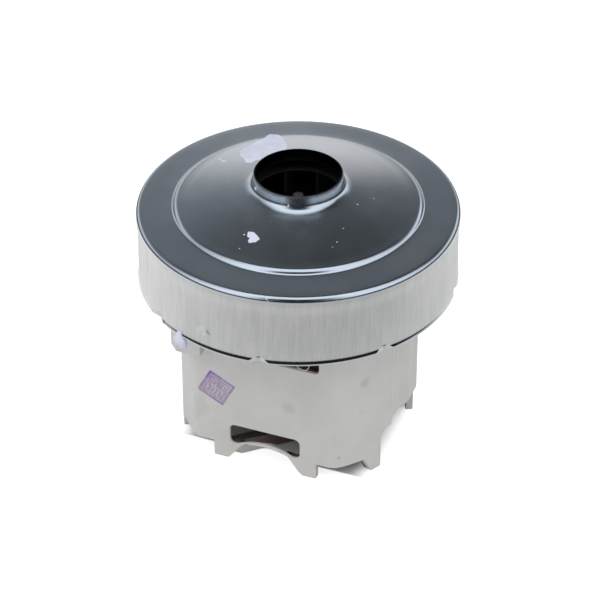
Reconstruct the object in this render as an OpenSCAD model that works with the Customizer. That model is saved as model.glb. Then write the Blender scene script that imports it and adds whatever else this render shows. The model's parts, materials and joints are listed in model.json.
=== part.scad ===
// Vacuum motor unit: a universal motor with its fan, in millimetres.
// The shaft runs along Z. The feet stand on the plane Z = 0, and the flat sides face -Y and +Y.

/* [Fan shroud] */
// Outer radius of the shroud at its rim
shroud_r = 67.5; // [64:0.5:72]
// Thickness of the shroud's sheet steel
sheet_t = 0.8; // [0.6:0.05:1]
// Height from the lower lip to the rim
shroud_h = 32.9; // [30:0.1:38]
// Radius of the rounded rim
rim_round = 2.3; // [1.6:0.1:3]
// Width of the ring between the rim and the step
rim_w = 12.2; // [8:0.1:15]
// Slope of that ring down to the rim, in degrees
rim_slope = 3.3; // [0.5:0.1:5]
// Radius of the step's upper bend
step_bend = 3; // [2:0.1:5]
// Radius of the bend at the step's foot
step_foot = 1.6; // [1:0.1:2.5]
// Steepest slope of the step, in degrees
step_slope = 55; // [45:1:65]
// Slope of the cone, in degrees
cone_slope = 12.45; // [8:0.05:18]
// Outer radius of the inlet collar
collar_r = 18.6; // [15:0.1:22]
// Height of the collar above its fillet
collar_h = 3.3; // [2:0.1:8]
// Radius of the fillet at the collar's foot
collar_fillet = 3.2; // [2:0.1:4]
// Slope at which the fillet runs into a wider bend, in degrees
blend_slope = 30; // [20:1:40]
// Radius of that wider bend
blend_bend = 10; // [6:0.5:14]
// How far the band stands in from the rim
band_in = 0.5; // [0.3:0.05:1]
// Height of the small bead under the rim
bead_h = 1.4; // [0.8:0.1:2.5]
// How far the lower part of the band stands out from its upper part
skirt_out = 0.2; // [0.1:0.05:0.4]
// Depth of that small step below the rim
skirt_at = 18.6; // [14:0.1:22]
// How far the lip flares out from the band
lip_out = 0.5; // [0.2:0.05:0.8]
// Height of the flared lip
lip_h = 2; // [1:0.1:3]
// Height of the lip's upright edge
lip_edge = 0.6; // [0.3:0.05:0.9]
// How far the lip reaches below the housing's flange
lip_under = 3.2; // [2.9:0.1:4]
// Number of crimps in the lip
crimp_count = 8; // [6:1:10]
// Angle of the first crimp, in degrees
crimp_turn = 7.6; // [0:0.1:45]
// Radius of the crimping tool's round nose
crimp_r = 2.4; // [2:0.1:2.8]
// Depth of each crimp in the band
crimp_depth = 1.2; // [0.9:0.05:1.4]

/* [Fan] */
// Running gap between the impeller and what lies round it
fan_gap = 2; // [1.2:0.1:2.6]
// Thickness of the impeller's plates
plate_t = 0.8; // [0.6:0.05:1.2]
// Number of impeller blades
blade_count = 9; // [6:1:12]
// Thickness of an impeller blade
blade_t = 1; // [0.7:0.05:1.5]
// Radius of curvature of an impeller blade
blade_bend = 42; // [36:0.5:50]
// Radius of the impeller's eye
eye_r = 18.4; // [15:0.1:22]
// Radius of the impeller's hub
hub_r = 9; // [7.5:0.1:11]
// Height of the impeller's hub
hub_h = 6; // [4:0.1:8]
// Width of the diffuser's ring of vanes
vane_ring_w = 6.4; // [5:0.1:9]
// Number of vanes in the ring
vane_count = 15; // [11:1:21]
// Thickness of a diffuser vane
vane_t = 1.4; // [1:0.1:2]
// Slant of the vanes from the radius, in degrees
vane_slant = 40; // [20:1:55]
// Thickness of the diffuser's disc
disc_t = 2; // [1.4:0.1:3]
// Height of the return channel under the disc
return_h = 7.5; // [7:0.1:10]
// Number of return vanes
return_count = 12; // [8:1:16]
// Thickness of the bearing bracket's plate
bracket_t = 1.5; // [1.2:0.1:2]
// Number of air holes in the bearing bracket
air_count = 6; // [4:1:6]
// Radius of an air hole in the bearing bracket
air_r = 8.5; // [6:0.1:10]

/* [Motor housing] */
// Radius of the housing's round sides
body_r = 50.5; // [47:0.5:54]
// How far the flat sides are cut in from the round sides
flat_in = 10.85; // [9.5:0.05:12]
// Thickness of the housing's wall
wall_t = 3.2; // [2.6:0.1:3.6]
// Height of the flange's underside above the feet
flange_z = 80.4; // [78:0.1:84]
// Thickness of the flange
flange_t = 3; // [2:0.1:4]
// Height of the lower edge of the round sides
skirt_z = 7.8; // [6:0.1:9]
// Width of the upper window in each flat side
window_w = 49; // [40:0.5:52]
// Height of the upper window's sill above the feet
window_z = 56; // [52:0.5:60]
// Height of the upper window
window_h = 18; // [14:0.5:20]
// Width of the lower slot in each flat side
slot_w = 31.7; // [26:0.1:33]
// Height of the lower slot's straight upper edge above the feet
slot_z = 18.3; // [16.5:0.1:19]
// Height of the lower slot at its ends
slot_h = 9.8; // [8.8:0.1:10.4]
// Rise of the slot's arched lower edge
arch_rise = 3.2; // [2.4:0.1:3.6]
// Thickness of the arch under the slot
arch_t = 1.7; // [1.4:0.05:2.4]
// Wall left round the slot, which is thinned from the inside
slot_wall = 1.2; // [1:0.1:2]
// Distance from the middle to the outer side of a flat side's foot
foot_x = 23.4; // [22:0.1:25]
// Width of a flat side's foot at its sole
foot_w = 6.3; // [5:0.1:8]
// How much the foot widens towards the arch
foot_taper = 6.4; // [4:0.1:7]
// Angle from the X axis to the nearer side of a round side's foot
side_foot_a = 24.4; // [23:0.1:26]
// Width of a round side's foot at its sole
side_foot_w = 5.4; // [4:0.1:7]
// How much that foot widens upwards
side_foot_taper = 4.6; // [2:0.1:6]
// Height of the lower side cut
side_cut_z = 18.7; // [16:0.1:20]
// Half width of the upper side cut
boss_cut_y = 14.3; // [13.5:0.1:15.5]
// Height of the brush boss's underside above the feet
boss_z = 23.5; // [22:0.1:24]
// How far the brush boss stands out from the round side
boss_out = 1.9; // [1.2:0.1:5]
// Half width of the brush boss's face
boss_face_y = 5.5; // [4.5:0.1:7]
// Half width of the brush boss at the wall
boss_foot_y = 13.5; // [12:0.1:14]
// Chamfer on the brush boss's lower edge
boss_chamfer = 2; // [1:0.1:3]
// Length of the corner lug along X
lug_w = 15; // [12:0.5:16]
// How far the corner lug stands out from the flat side
lug_out = 5.15; // [4.4:0.05:7]
// Distance from the middle to the nearer end of the corner lug
lug_x = 26.5; // [26:0.1:27.5]
// Height of the corner lug's underside above the feet
lug_z = 55; // [50:0.5:62]
// Width of a bearing spider arm
arm_w = 5; // [4.6:0.1:5.4]
// How far the outer face of an arm lies outside the lower bearing's cup
arm_out = 3; // [2.6:0.1:3.2]
// Height of a bearing spider arm
arm_h = 7; // [5:0.1:7.5]
// Turn of the first bearing spider arm, in degrees
arm_turn = -47.6; // [-50:0.1:-45]
// Height of the arms' underside above the feet
arm_z = 0.4; // [0.3:0.1:1.5]
// Wall of the lower bearing's cup
cup_t = 2.6; // [2:0.1:3.5]

/* [Shaft and bearings] */
// Radius of the shaft in the bearings
shaft_r = 4; // [3.5:0.05:4.5]
// Radius of the shaft under the impeller
seat_r = 3.5; // [3:0.05:3.5]
// Radius of the shaft's threaded end
thread_r = 2.5; // [2:0.05:3]
// Height of the shaft's upper end above the fan nut
shaft_over = 5.8; // [3:0.1:8]
// Outer radius of a bearing
bearing_r = 11; // [10.5:0.1:12]
// Width of a bearing
bearing_w = 7; // [6:0.1:8]
// Radius of a bearing ball
ball_r = 1.96; // [1.6:0.02:2]
// Number of balls in a bearing
ball_count = 7; // [6:1:8]
// Thickness of the rubber ring round the lower bearing
damper_t = 1.4; // [1:0.1:2]
// How far the shaft reaches below the lower bearing
shaft_under = 2.5; // [1.5:0.1:2.8]
// Height of the lower bearing's underside above the feet
lower_z = 4; // [3:0.1:5]

/* [Electrical parts] */
// Height of the stator's underside above the feet
stack_z = 44.5; // [43.5:0.1:46]
// Height of the stator's stack
stack_h = 24; // [20:0.5:26]
// Radius of the stator's bore
bore_r = 22.8; // [21:0.1:23.5]
// Air gap between stator and armature
air_gap = 0.4; // [0.3:0.05:0.6]
// Thickness of the stator's pole shoes
shoe_t = 3.2; // [2.5:0.1:3.6]
// Half angle of a pole shoe, in degrees
shoe_a = 52; // [45:1:56]
// Half width of a stator pole
pole_y = 11; // [9:0.1:12]
// Iron left round the corner of a winding slot in the stator
corner_t = 2; // [1.2:0.1:3]
// Thickness of the stator's yoke behind a pole
back_t = 10.1; // [9.5:0.1:11]
// Gap between a field coil and the iron at its two ends
coil_gap = 0.8; // [0.4:0.05:1.4]
// Thickness of a field coil beside its pole
coil_t = 8; // [6:0.1:9]
// Height of a field coil's end turn
coil_end = 5.4; // [4:0.1:5.6]
// Number of armature slots
slot_count = 12; // [10:1:14]
// Depth of an armature slot
slot_d = 11; // [9:0.1:11.5]
// Width of an armature slot
slot_t = 4.2; // [3.4:0.1:4.6]
// Thickness of the armature's insulating end discs
end_disc_t = 0.6; // [0.4:0.1:1]
// Height of the armature's end turns
end_turn_h = 4.8; // [3.5:0.1:5]
// Radius of the commutator
comm_r = 12; // [11:0.1:13]
// Number of commutator bars
bar_count = 24; // [20:2:26]
// Gap between commutator bars
bar_gap = 0.5; // [0.4:0.05:0.7]
// Depth of a commutator bar
bar_d = 3.4; // [2.6:0.1:3.6]
// Height of the commutator's riser
riser_h = 2; // [1.4:0.1:2.6]
// How far the riser stands out from the commutator
riser_out = 1.4; // [0.8:0.1:1.6]
// Height of the brush axis above the feet
brush_z = 29; // [28.5:0.1:29.6]
// Width of a carbon brush round the commutator
brush_w = 6.4; // [5:0.1:7]
// Height of a carbon brush along the shaft
brush_h = 10.4; // [8.5:0.1:10.8]
// Length of a brush spring at rest
spring_l = 10; // [8:0.5:12]
// Wall of a brush holder
holder_t = 0.6; // [0.4:0.05:0.7]
// Room behind a brush holder's outer end
holder_back = 3.3; // [2.4:0.1:4]
// Outer radius of a brush spring
spring_r = 2.6; // [2:0.1:2.8]
// Width of a supply blade
blade_w = 6.3; // [4.8:0.1:6.3]
// Length of a supply blade
blade_l = 18; // [15:0.5:19]
// Radius of an insulated lead
lead_r = 0.9; // [0.6:0.05:1.1]

/* [Fasteners] */
// Radius of the stator screws' shank
stator_screw_r = 1.75; // [1.5:0.05:2]
// Length of the stator screws below the stack
stator_grip = 14; // [10:0.5:16]
// Radius of the bracket screws' shank
bracket_screw_r = 2; // [1.5:0.1:2.2]
// Length of the bracket screws below the bracket
bracket_grip = 16; // [10:0.5:20]
// Radius of the clip screws' shank
clip_screw_r = 1.25; // [1:0.05:1.4]
// Thickness of the bearing clip
clip_t = 1.1; // [0.8:0.1:1.4]
// Width of the fan nut across its flats
nut_flats = 8; // [7:0.5:10]
// Height of the fan nut
nut_h = 4.5; // [3:0.1:6]
// Thickness of the fan washer
washer_t = 1.5; // [1:0.1:2]

/* [Hidden] */
$fn = 96;

// Clearances: fit for pressed and seated pieces, slip for sliding ones, clear for free ones
fit = 0.03;
run = 0.06;
slip = 0.2;
clear = 0.3;
// Reach of a cutter past the face that it cuts
over = 1;
far = 200;

// Screw heads, and the clip under the upper bearing
head_ratio = 1.8;
head_share = 1.2;
recess_w = 0.8;
recess_d = 1;
clip_at = bearing_r + clip_screw_r * (head_ratio + 1);
clip_out = 2 * clip_at - bearing_r;
clip_lap = 1.6;
clip_turn = 30;

// Heights of the fan end
lip_z = flange_z - lip_under;
rim_z = lip_z + shroud_h;
bracket_z = flange_z + flange_t;
return_z = bracket_z + bracket_t;
disc_z = return_z + return_h;
spacer_z = bracket_z + bearing_w;
back_z = disc_z + disc_t + fan_gap;
hub_z = back_z + plate_t;
washer_z = hub_z + hub_h;
nut_z = washer_z + washer_t;
shaft_top = nut_z + nut_h + shaft_over;

// Radii of the fan end
band_r = shroud_r - band_in;
skirt_r = band_r + skirt_out;
bore_band = band_r - sheet_t;
flange_r = bore_band - clear;
vane_r2 = shroud_r - rim_round - clear;
vane_r1 = vane_r2 - vane_ring_w;
fan_r = vane_r1 - fan_gap;
disc_r = vane_r1 + vane_ring_w / 2;
front_z = rim_z - sheet_t - fan_gap;
front_rise = tan(cone_slope);

// The shroud's profile: centres of the arcs between collar, cone, step and rim
step_r = shroud_r - rim_round - rim_w;
rim_top = [shroud_r - rim_round + rim_round * sin(rim_slope),
  rim_z - rim_round + rim_round * cos(rim_slope)];
step_z = rim_top[1] + (rim_top[0] - step_r) * tan(rim_slope);
step_foot_c = [step_r + step_foot * sin(rim_slope), step_z + step_foot * cos(rim_slope)];
step_bend_c = step_foot_c - (step_bend + step_foot) * [sin(step_slope), cos(step_slope)];
cone_edge = step_bend_c + step_bend * [sin(cone_slope), cos(cone_slope)];
fillet_r = collar_r + collar_fillet;
blend_r = fillet_r + (blend_bend - collar_fillet) * sin(blend_slope);
cone_r = blend_r - blend_bend * sin(cone_slope);
cone_z = cone_edge[1] + (cone_edge[0] - cone_r) * tan(cone_slope);
blend_z = cone_z + blend_bend * cos(cone_slope);
fillet_z = blend_z - (blend_bend - collar_fillet) * cos(blend_slope);
collar_z = fillet_z + collar_h;
arc_steps = 8;
function arc(c, r, a0, a1) =
  [for (i = [0:arc_steps]) let (a = a0 + (a1 - a0) * i / arc_steps) c + r * [cos(a), sin(a)]];
// One face of the sheet, at depth d under the outer face
function sheet_face(d) = concat(
  [[collar_r - d, collar_z]],
  arc([fillet_r, fillet_z], collar_fillet + d, 180, 270 - blend_slope),
  arc([blend_r, blend_z], blend_bend + d, 270 - blend_slope, 270 - cone_slope),
  arc(step_bend_c, step_bend - d, 90 - cone_slope, 90 - step_slope),
  arc(step_foot_c, step_foot + d, 270 - step_slope, 270 - rim_slope),
  arc([shroud_r - rim_round, rim_z - rim_round], rim_round - d, 90 - rim_slope, 0),
  [[band_r - d, rim_z - rim_round - bead_h]],
  [[band_r - d, rim_z - skirt_at]],
  [[skirt_r - d, rim_z - skirt_at - bead_h]],
  [[skirt_r - d, lip_z + lip_h]],
  [[skirt_r + lip_out - d, lip_z + lip_edge]],
  [[skirt_r + lip_out - d, lip_z]]
);
function reversed(p) = [for (i = [len(p) - 1:-1:0]) p[i]];

// The housing
flat_y = body_r - flat_in;
boss_x = body_r + boss_out;
lug_y = flat_y + lug_out;
in_r = body_r - wall_t;
in_y = flat_y - wall_t;
stator_r = in_r - slip;
stack_top = stack_z + stack_h;
sole_in = foot_x - foot_w;
arch_x = sole_in - foot_taper;
slot_low = slot_z - slot_h;
arch_low = slot_low + arch_rise - arch_t;
sole_lip = 1;
slot_round = 2.4;
slot_rim = 3;
window_round = 2;
cup_r = bearing_r + damper_t + cup_t;
cup_h = lower_z + bearing_w;
cup_gap = 2;
cup_eye = shaft_r + cup_gap;
arm_off = cup_r + arm_out;
lug_mid_x = lug_x + lug_w / 2;
lug_mid_y = lug_y - bracket_screw_r - cup_t;
lug_chamfer = 4;
lug_back = sqrt(body_r * body_r - pow(lug_x + lug_w, 2)) - over;
pole_x = stator_r - back_t;
slot_y = sqrt(pow(stator_r - corner_t, 2) - pow(pole_x, 2));
ledge_a = 19;
ledge_w = 8;
ledge_r = stator_r - stator_screw_r * head_ratio - clear;
ledge_in = (pole_x + ledge_w / 2 * sin(ledge_a)) / cos(ledge_a);

// The brush gear, along X
brush_in = comm_r + run;
holder_x = in_r - holder_back;
brush_out = holder_x - spring_l;
holder_gap = 1.2;
holder_in = comm_r + riser_out + holder_gap;
holder_y = brush_w + 2 * slip + 2 * holder_t;
holder_h = brush_h + 2 * slip + 2 * holder_t;
block_t = 1.6;
block_wall = 3;
block_in = bore_r + shoe_t + over;
block_y = holder_y + 2 * fit + 2 * block_wall;
block_low = brush_z - holder_h / 2 - block_t;
block_top = brush_z + holder_h / 2 + block_t;
terminal_t = 0.8;
tab_w = 4;
tab_over = 1.5;
spring_t = 0.7;
coil_low = stack_z - coil_end - clear;
lead_z = coil_low + coil_end / 2;
lead_bow = 4;

// The field coils round the poles
coil_x = bore_r + shoe_t + coil_gap;
coil_w = pole_x - coil_gap - coil_x;
coil_in_y = pole_y + clear;
coil_out_y = coil_in_y + coil_t;
coil_round = 4;

// The armature
arm_r = bore_r - air_gap;
disc_low = stack_z - end_disc_t;
turn_low = disc_low - end_turn_h;
turn_inset = 1.6;
turn_r = arm_r - turn_inset;
turn_in = comm_r - bar_d + over;
comm_room = 2;
riser_top = turn_low - comm_room;
comm_low = brush_z - brush_h / 2 - comm_room;
bar_in = comm_r - bar_d;
mould_r = bar_in - fit;

// The supply blades behind the rear flat side
shelf_x = 13;
shelf_z = slot_z + cup_gap;
shelf_h = 4;
shelf_in = 7;
blade_x = 7;
blade_thick = 0.8;
blade_up = 4;
blade_y = in_y - shelf_in / 2;
blade_top = shelf_z + shelf_h + blade_up;

// Basic solids
module ring(r2, r1, z, h) {
  translate([0, 0, z]) difference() {
    cylinder(r = r2, h = h);
    translate([0, 0, -over]) cylinder(r = r1, h = h + 2 * over);
  }
}
module revolved(points) {
  rotate_extrude() polygon(points);
}
module body_outline(inset) {
  intersection() {
    circle(body_r - inset);
    square([2 * body_r, 2 * (flat_y - inset)], center = true);
  }
}
module prism_y(y0, y1) {
  translate([0, y1, 0]) rotate([90, 0, 0]) linear_extrude(y1 - y0) children();
}
module soft_square(w, h, r) {
  union() {
    square([w - 2 * r, h], center = true);
    square([w, h - 2 * r], center = true);
    for (x = [-1, 1])
      for (y = [-1, 1]) translate([x * (w / 2 - r), y * (h / 2 - r)]) circle(r);
  }
}
module both_ways() {
  for (a = [0, 180]) rotate([0, 0, a]) children();
}
// A cap screw with a cross recess, its head's underside at the origin, pointing down
module cap_screw(r, l) {
  head_r = r * head_ratio;
  head_h = r * head_share;
  difference() {
    union() {
      cylinder(r = head_r, h = head_h);
      translate([0, 0, -l]) cylinder(r = r, h = l + head_h / 2);
    }
    for (a = [0, 90])
      rotate([0, 0, a]) translate([-r, -recess_w / 2, head_h - recess_d])
        cube([2 * r, recess_w, recess_d + over]);
  }
}
// A round tube swept along points; its sides are laid out across the direction lay
function unit(v) = v / norm(v);
lay = [0.3, -0.5, 0.8];
function heading(p, i) =
  let (j = max(i - 1, 0), k = min(i + 1, len(p) - 1))
  unit((i == j ? [0, 0, 0] : unit(p[i] - p[j])) + (i == k ? [0, 0, 0] : unit(p[k] - p[i])));
module swept_tube(p, r, sides) {
  frames = [for (i = [0:len(p) - 1])
    let (t = heading(p, i), u = unit(cross(t, lay)), v = cross(t, u)) [u, v]];
  points = [for (i = [0:len(p) - 1]) for (k = [0:sides - 1])
    let (a = 360 * k / sides) p[i] + r * (cos(a) * frames[i][0] + sin(a) * frames[i][1])];
  sides_f = [for (i = [0:len(p) - 2]) for (k = [0:sides - 1]) for (h = [0, 1])
    let (k2 = (k + 1) % sides, a = i * sides + k, b = i * sides + k2, c = a + sides, d = b + sides)
    h == 0 ? [a, c, b] : [b, c, d]];
  last = (len(p) - 1) * sides;
  caps = concat(
    [for (k = [1:sides - 2]) [0, k, k + 1]],
    [for (k = [1:sides - 2]) [last, last + k + 1, last + k]]);
  polyhedron(points = points, faces = concat(sides_f, caps));
}

// Fan shroud: one sheet, with crimps pressed into its lip under the flange
module crimp_nose(r) {
  for (i = [0:crimp_count - 1])
    rotate([0, 0, crimp_turn + 360 * i / crimp_count])
      translate([skirt_r + crimp_r - crimp_depth, 0, lip_z + lip_edge]) sphere(r);
}
module fan_shroud() {
  color("lightsteelblue") union() {
    difference() {
      revolved(concat(sheet_face(0), reversed(sheet_face(sheet_t))));
      crimp_nose(crimp_r);
    }
    intersection() {
      difference() {
        crimp_nose(crimp_r + sheet_t);
        crimp_nose(crimp_r);
      }
      translate([0, 0, lip_z]) cylinder(r = skirt_r - sheet_t / 4, h = 2 * crimp_r);
    }
  }
}

// Diffuser: vanes round the impeller, a disc, and return vanes on the bracket
module diffuser() {
  vane_h = rim_z - sheet_t - clear - disc_z;
  screw_clear = norm([lug_mid_x, lug_mid_y]) - bracket_screw_r * head_ratio - clear;
  return_r = min(disc_r, screw_clear);
  cup_clear = bearing_r + bracket_t + clear;
  color("whitesmoke") difference() {
    union() {
      translate([0, 0, disc_z]) cylinder(r = disc_r, h = disc_t);
      intersection() {
        ring(vane_r2, vane_r1, disc_z, vane_h);
        for (i = [0:vane_count - 1])
          rotate([0, 0, 360 * i / vane_count]) translate([(vane_r1 + vane_r2) / 2, 0, disc_z])
            rotate([0, 0, vane_slant])
              translate([-vane_ring_w, -vane_t / 2, 0]) cube([2 * vane_ring_w, vane_t, vane_h]);
      }
      intersection() {
        translate([0, 0, return_z]) cylinder(r = return_r, h = return_h + disc_t / 2);
        for (i = [0:return_count - 1])
          rotate([0, 0, 360 * (i + 0.5) / return_count])
            translate([cup_clear, 0, return_z]) rotate([0, 0, vane_slant])
              translate([0, -vane_t / 2, 0]) cube([shroud_r, vane_t, return_h + disc_t / 2]);
      }
    }
    translate([0, 0, return_z - over]) cylinder(r = cup_clear, h = return_h + disc_t + 2 * over);
  }
}

// Bearing bracket: plate on the flange with the upper bearing's cup
module lug_points() {
  both_ways() translate([-lug_mid_x, -lug_mid_y, 0]) children();
}
module bearing_bracket() {
  cup_out = bearing_r + bracket_t;
  air_at = (clip_out + in_y) / 2;
  color("silver") difference() {
    union() {
      translate([0, 0, bracket_z]) cylinder(r = flange_r, h = bracket_t);
      translate([0, 0, bracket_z]) cylinder(r = cup_out, h = bearing_w + bracket_t);
    }
    translate([0, 0, bracket_z - over]) cylinder(r = bearing_r + fit, h = bearing_w + over);
    translate([0, 0, bracket_z]) cylinder(r = hub_r, h = bearing_w + bracket_t + over);
    for (i = [0:air_count - 1])
      rotate([0, 0, 360 * i / air_count]) translate([air_at, 0, bracket_z - over])
        cylinder(r = air_r, h = bracket_t + 2 * over);
    lug_points() translate([0, 0, bracket_z - over])
      cylinder(r = bracket_screw_r + slip, h = bracket_t + 2 * over);
    clip_points() translate([0, 0, bracket_z - over])
      cylinder(r = clip_screw_r + fit, h = bracket_t + 2 * over);
  }
}
module bracket_screws() {
  color("gray") lug_points() translate([0, 0, return_z])
    cap_screw(bracket_screw_r, bracket_grip + bracket_t);
}
module clip_points() {
  both_ways() rotate([0, 0, clip_turn]) translate([clip_at, 0, 0]) children();
}
module bearing_clip() {
  color("silver") difference() {
    ring(clip_out, bearing_r - clip_lap, bracket_z - clip_t, clip_t);
    clip_points() translate([0, 0, bracket_z - clip_t - over])
      cylinder(r = clip_screw_r + fit, h = clip_t + 2 * over);
  }
}
module clip_screws() {
  color("gray") clip_points() translate([0, 0, bracket_z - clip_t])
    mirror([0, 0, 1]) cap_screw(clip_screw_r, clip_t + bracket_t - slip);
}

// Motor housing: tube with flats, flange, feet, bosses, lugs and the bearing spider
module slot_outline() {
  w = slot_w / 2;
  difference() {
    union() {
      translate([-w, slot_low + slot_round]) square([slot_w, slot_h - 2 * slot_round]);
      translate([-w + slot_round, slot_low]) square([slot_w - 2 * slot_round, slot_h]);
      for (x = [-1, 1])
        for (z = [slot_low + slot_round, slot_z - slot_round])
          translate([x * (w - slot_round), z]) circle(slot_round);
    }
    arch_circle(w - slot_round - over, slot_low, arch_rise);
  }
}
// A circle that rises by rise above height z in the middle, and meets that height at x
module arch_circle(x, z, rise) {
  big = (x * x + rise * rise) / (2 * rise);
  translate([0, z + rise - big]) circle(big);
}
module under_arch() {
  polygon(concat(
    [[-sole_in, -over], [-sole_in, 0], [-sole_in + sole_lip, sole_lip]],
    [for (i = [-4:4]) [arch_x * i / 4, arch_low - arch_rise / 2 * (i / 4) * (i / 4)]],
    [[sole_in - sole_lip, sole_lip], [sole_in, 0], [sole_in, -over]]
  ));
}
// A wedge about +X between two angles, in plan
module wedge(a0, a1) {
  polygon([[0, 0], far * [cos(a0), sin(a0)], far * [cos(a1), sin(a1)]]);
}
module side_feet() {
  intersection() {
    linear_extrude(skirt_z + over) difference() {
      body_outline(0);
      body_outline(wall_t);
    }
    for (m = [0, 1]) mirror([m, 0, 0])
      for (n = [0, 1]) mirror([0, n, 0])
        rotate([90, 0, 90 + side_foot_a]) linear_extrude(far) polygon([
          [0, 0],
          [side_foot_w, 0],
          [side_foot_w + side_foot_taper, skirt_z + over],
          [0, skirt_z + over]
        ]);
  }
}
module flat_feet() {
  intersection() {
    linear_extrude(skirt_z + over) difference() {
      body_outline(0);
      body_outline(wall_t);
    }
    translate([-foot_x, -body_r, 0]) cube([2 * foot_x, 2 * body_r, far]);
  }
}
module brush_boss() {
  inner = sqrt(in_r * in_r - boss_foot_y * boss_foot_y);
  difference() {
    translate([0, 0, boss_z]) linear_extrude(flange_z - boss_z + over) polygon([
      [inner, -boss_foot_y],
      [boss_x, -boss_face_y],
      [boss_x, boss_face_y],
      [inner, boss_foot_y]
    ]);
    translate([boss_x - boss_chamfer, 0, boss_z]) rotate([0, -45, 0])
      translate([0, -body_r, -far / 2]) cube([far, 2 * body_r, far / 2]);
  }
}
module holder_block() {
  translate([block_in, -block_y / 2, block_low])
    cube([in_r - block_in, block_y, block_top - block_low]);
}
module ledges() {
  for (m = [0, 1]) mirror([m, 0, 0])
    for (n = [-1, 1]) rotate([0, 0, n * ledge_a])
      translate([ledge_in, -ledge_w / 2, boss_z + over])
        cube([in_r + wall_t / 2 - ledge_in, ledge_w, stack_z - boss_z - over]);
}
module ledge_points() {
  for (m = [0, 1]) mirror([m, 0, 0])
    for (n = [-1, 1]) rotate([0, 0, n * ledge_a]) translate([ledge_r, 0, 0]) children();
}
module corner_lugs() {
  both_ways() translate([0, 0, lug_z]) linear_extrude(flange_z - lug_z + over) polygon([
    [-lug_x, -lug_y],
    [-lug_x - lug_w + lug_chamfer, -lug_y],
    [-lug_x - lug_w, -lug_y + lug_chamfer],
    [-lug_x - lug_w, -lug_back],
    [-lug_x, -lug_back]
  ]);
}
module spider() {
  difference() {
    union() {
      translate([0, 0, arm_z]) cylinder(r = cup_r, h = cup_h - arm_z);
      intersection() {
        translate([0, 0, arm_z]) linear_extrude(arm_h) body_outline(wall_t / 2);
        for (i = [0:3])
          rotate([0, 0, arm_turn + 90 * i])
            translate([arm_off - arm_w, -body_r, arm_z]) cube([arm_w, body_r, arm_h]);
      }
    }
    translate([0, 0, lower_z - fit])
      cylinder(r = bearing_r + damper_t + fit, h = bearing_w + over + fit);
    translate([0, 0, -over]) cylinder(r = cup_eye, h = cup_h + 2 * over);
  }
}
module slot_pockets() {
  w = slot_w + 2 * slot_rim;
  both_ways() translate([-w / 2, -flat_y + slot_wall, skirt_z - over])
    cube([w, wall_t, slot_z + slot_rim - skirt_z + over]);
}
module supply_shelf() {
  translate([-shelf_x, in_y - shelf_in, shelf_z]) cube([2 * shelf_x, shelf_in + wall_t / 2, shelf_h]);
}
module side_cuts() {
  for (m = [0, 1]) mirror([m, 0, 0]) {
    translate([0, 0, -over]) linear_extrude(side_cut_z + over)
      intersection() {
        wedge(-side_foot_a, side_foot_a);
        translate([in_r * cos(side_foot_a) - over * 2, -body_r]) square([body_r, 2 * body_r]);
      }
    translate([in_r * cos(side_foot_a), -boss_cut_y, -over])
      cube([body_r, 2 * boss_cut_y, boss_z + over]);
  }
}
module motor_housing() {
  color("antiquewhite") difference() {
    union() {
      difference() {
        union() {
          translate([0, 0, skirt_z]) linear_extrude(bracket_z - skirt_z) body_outline(0);
          translate([0, 0, flange_z]) cylinder(r = flange_r, h = flange_t);
          for (m = [0, 1]) mirror([m, 0, 0]) brush_boss();
          corner_lugs();
        }
        translate([0, 0, -over]) linear_extrude(bracket_z + 2 * over) body_outline(wall_t);
        side_cuts();
        slot_pockets();
      }
      side_feet();
      flat_feet();
      ledges();
      for (m = [0, 1]) mirror([m, 0, 0]) holder_block();
      spider();
      supply_shelf();
    }
    both_ways() prism_y(-body_r, -in_y + over) slot_outline();
    both_ways() prism_y(-body_r, -in_y + over) under_arch();
    both_ways() prism_y(-body_r, -in_y + over)
      translate([0, window_z + window_h / 2]) soft_square(window_w, window_h, window_round);
    for (m = [0, 1]) mirror([m, 0, 0]) {
      translate([block_in - over, -holder_y / 2 - fit, brush_z - holder_h / 2 - fit])
        cube([in_r - block_in + over, holder_y + 2 * fit, holder_h + 2 * fit]);
      translate([holder_x - clear, -tab_w / 2 - clear, brush_z])
        cube([in_r - holder_x + clear, tab_w + 2 * clear, block_top - brush_z + over]);
    }
    ledge_points() translate([0, 0, stack_z - stator_grip - over])
      cylinder(r = stator_screw_r + fit, h = stator_grip + 2 * over);
    lug_points() translate([0, 0, bracket_z - bracket_grip - over])
      cylinder(r = bracket_screw_r + fit, h = bracket_grip + 2 * over);
    for (x = [-1, 1])
      translate([x * blade_x - blade_w / 2 - fit, blade_y - blade_thick / 2 - fit, shelf_z - over])
        cube([blade_w + 2 * fit, blade_thick + 2 * fit, shelf_h + 2 * over]);
  }
}

// Stator: laminated core with two poles along X, and a coil round each pole
module stator_core() {
  color("dimgray") difference() {
    translate([0, 0, stack_z]) linear_extrude(stack_h) difference() {
      body_outline(wall_t + slip);
      circle(bore_r);
      difference() {
        for (n = [-1, 1])
          translate([-pole_x, n * (pole_y + slot_y) / 2 - (slot_y - pole_y) / 2])
            square([2 * pole_x, slot_y - pole_y]);
        intersection() {
          circle(bore_r + shoe_t);
          union() {
            wedge(-shoe_a, shoe_a);
            rotate(180) wedge(-shoe_a, shoe_a);
          }
        }
      }
    }
    ledge_points() translate([0, 0, stack_z - over])
      cylinder(r = stator_screw_r + slip, h = stack_h + 2 * over);
  }
}
module stator_screws() {
  color("gray") ledge_points() translate([0, 0, stack_top])
    cap_screw(stator_screw_r, stack_h + stator_grip);
}
module field_coil(side) {
  coil_h = stack_h + 2 * clear;
  translate([side > 0 ? coil_x : -coil_x - coil_w, 0, stack_z + stack_h / 2])
    rotate([90, 0, 90]) linear_extrude(coil_w) difference() {
      soft_square(2 * coil_out_y, coil_h + 2 * coil_end, coil_round);
      square([2 * coil_in_y, coil_h], center = true);
    }
}
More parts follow.
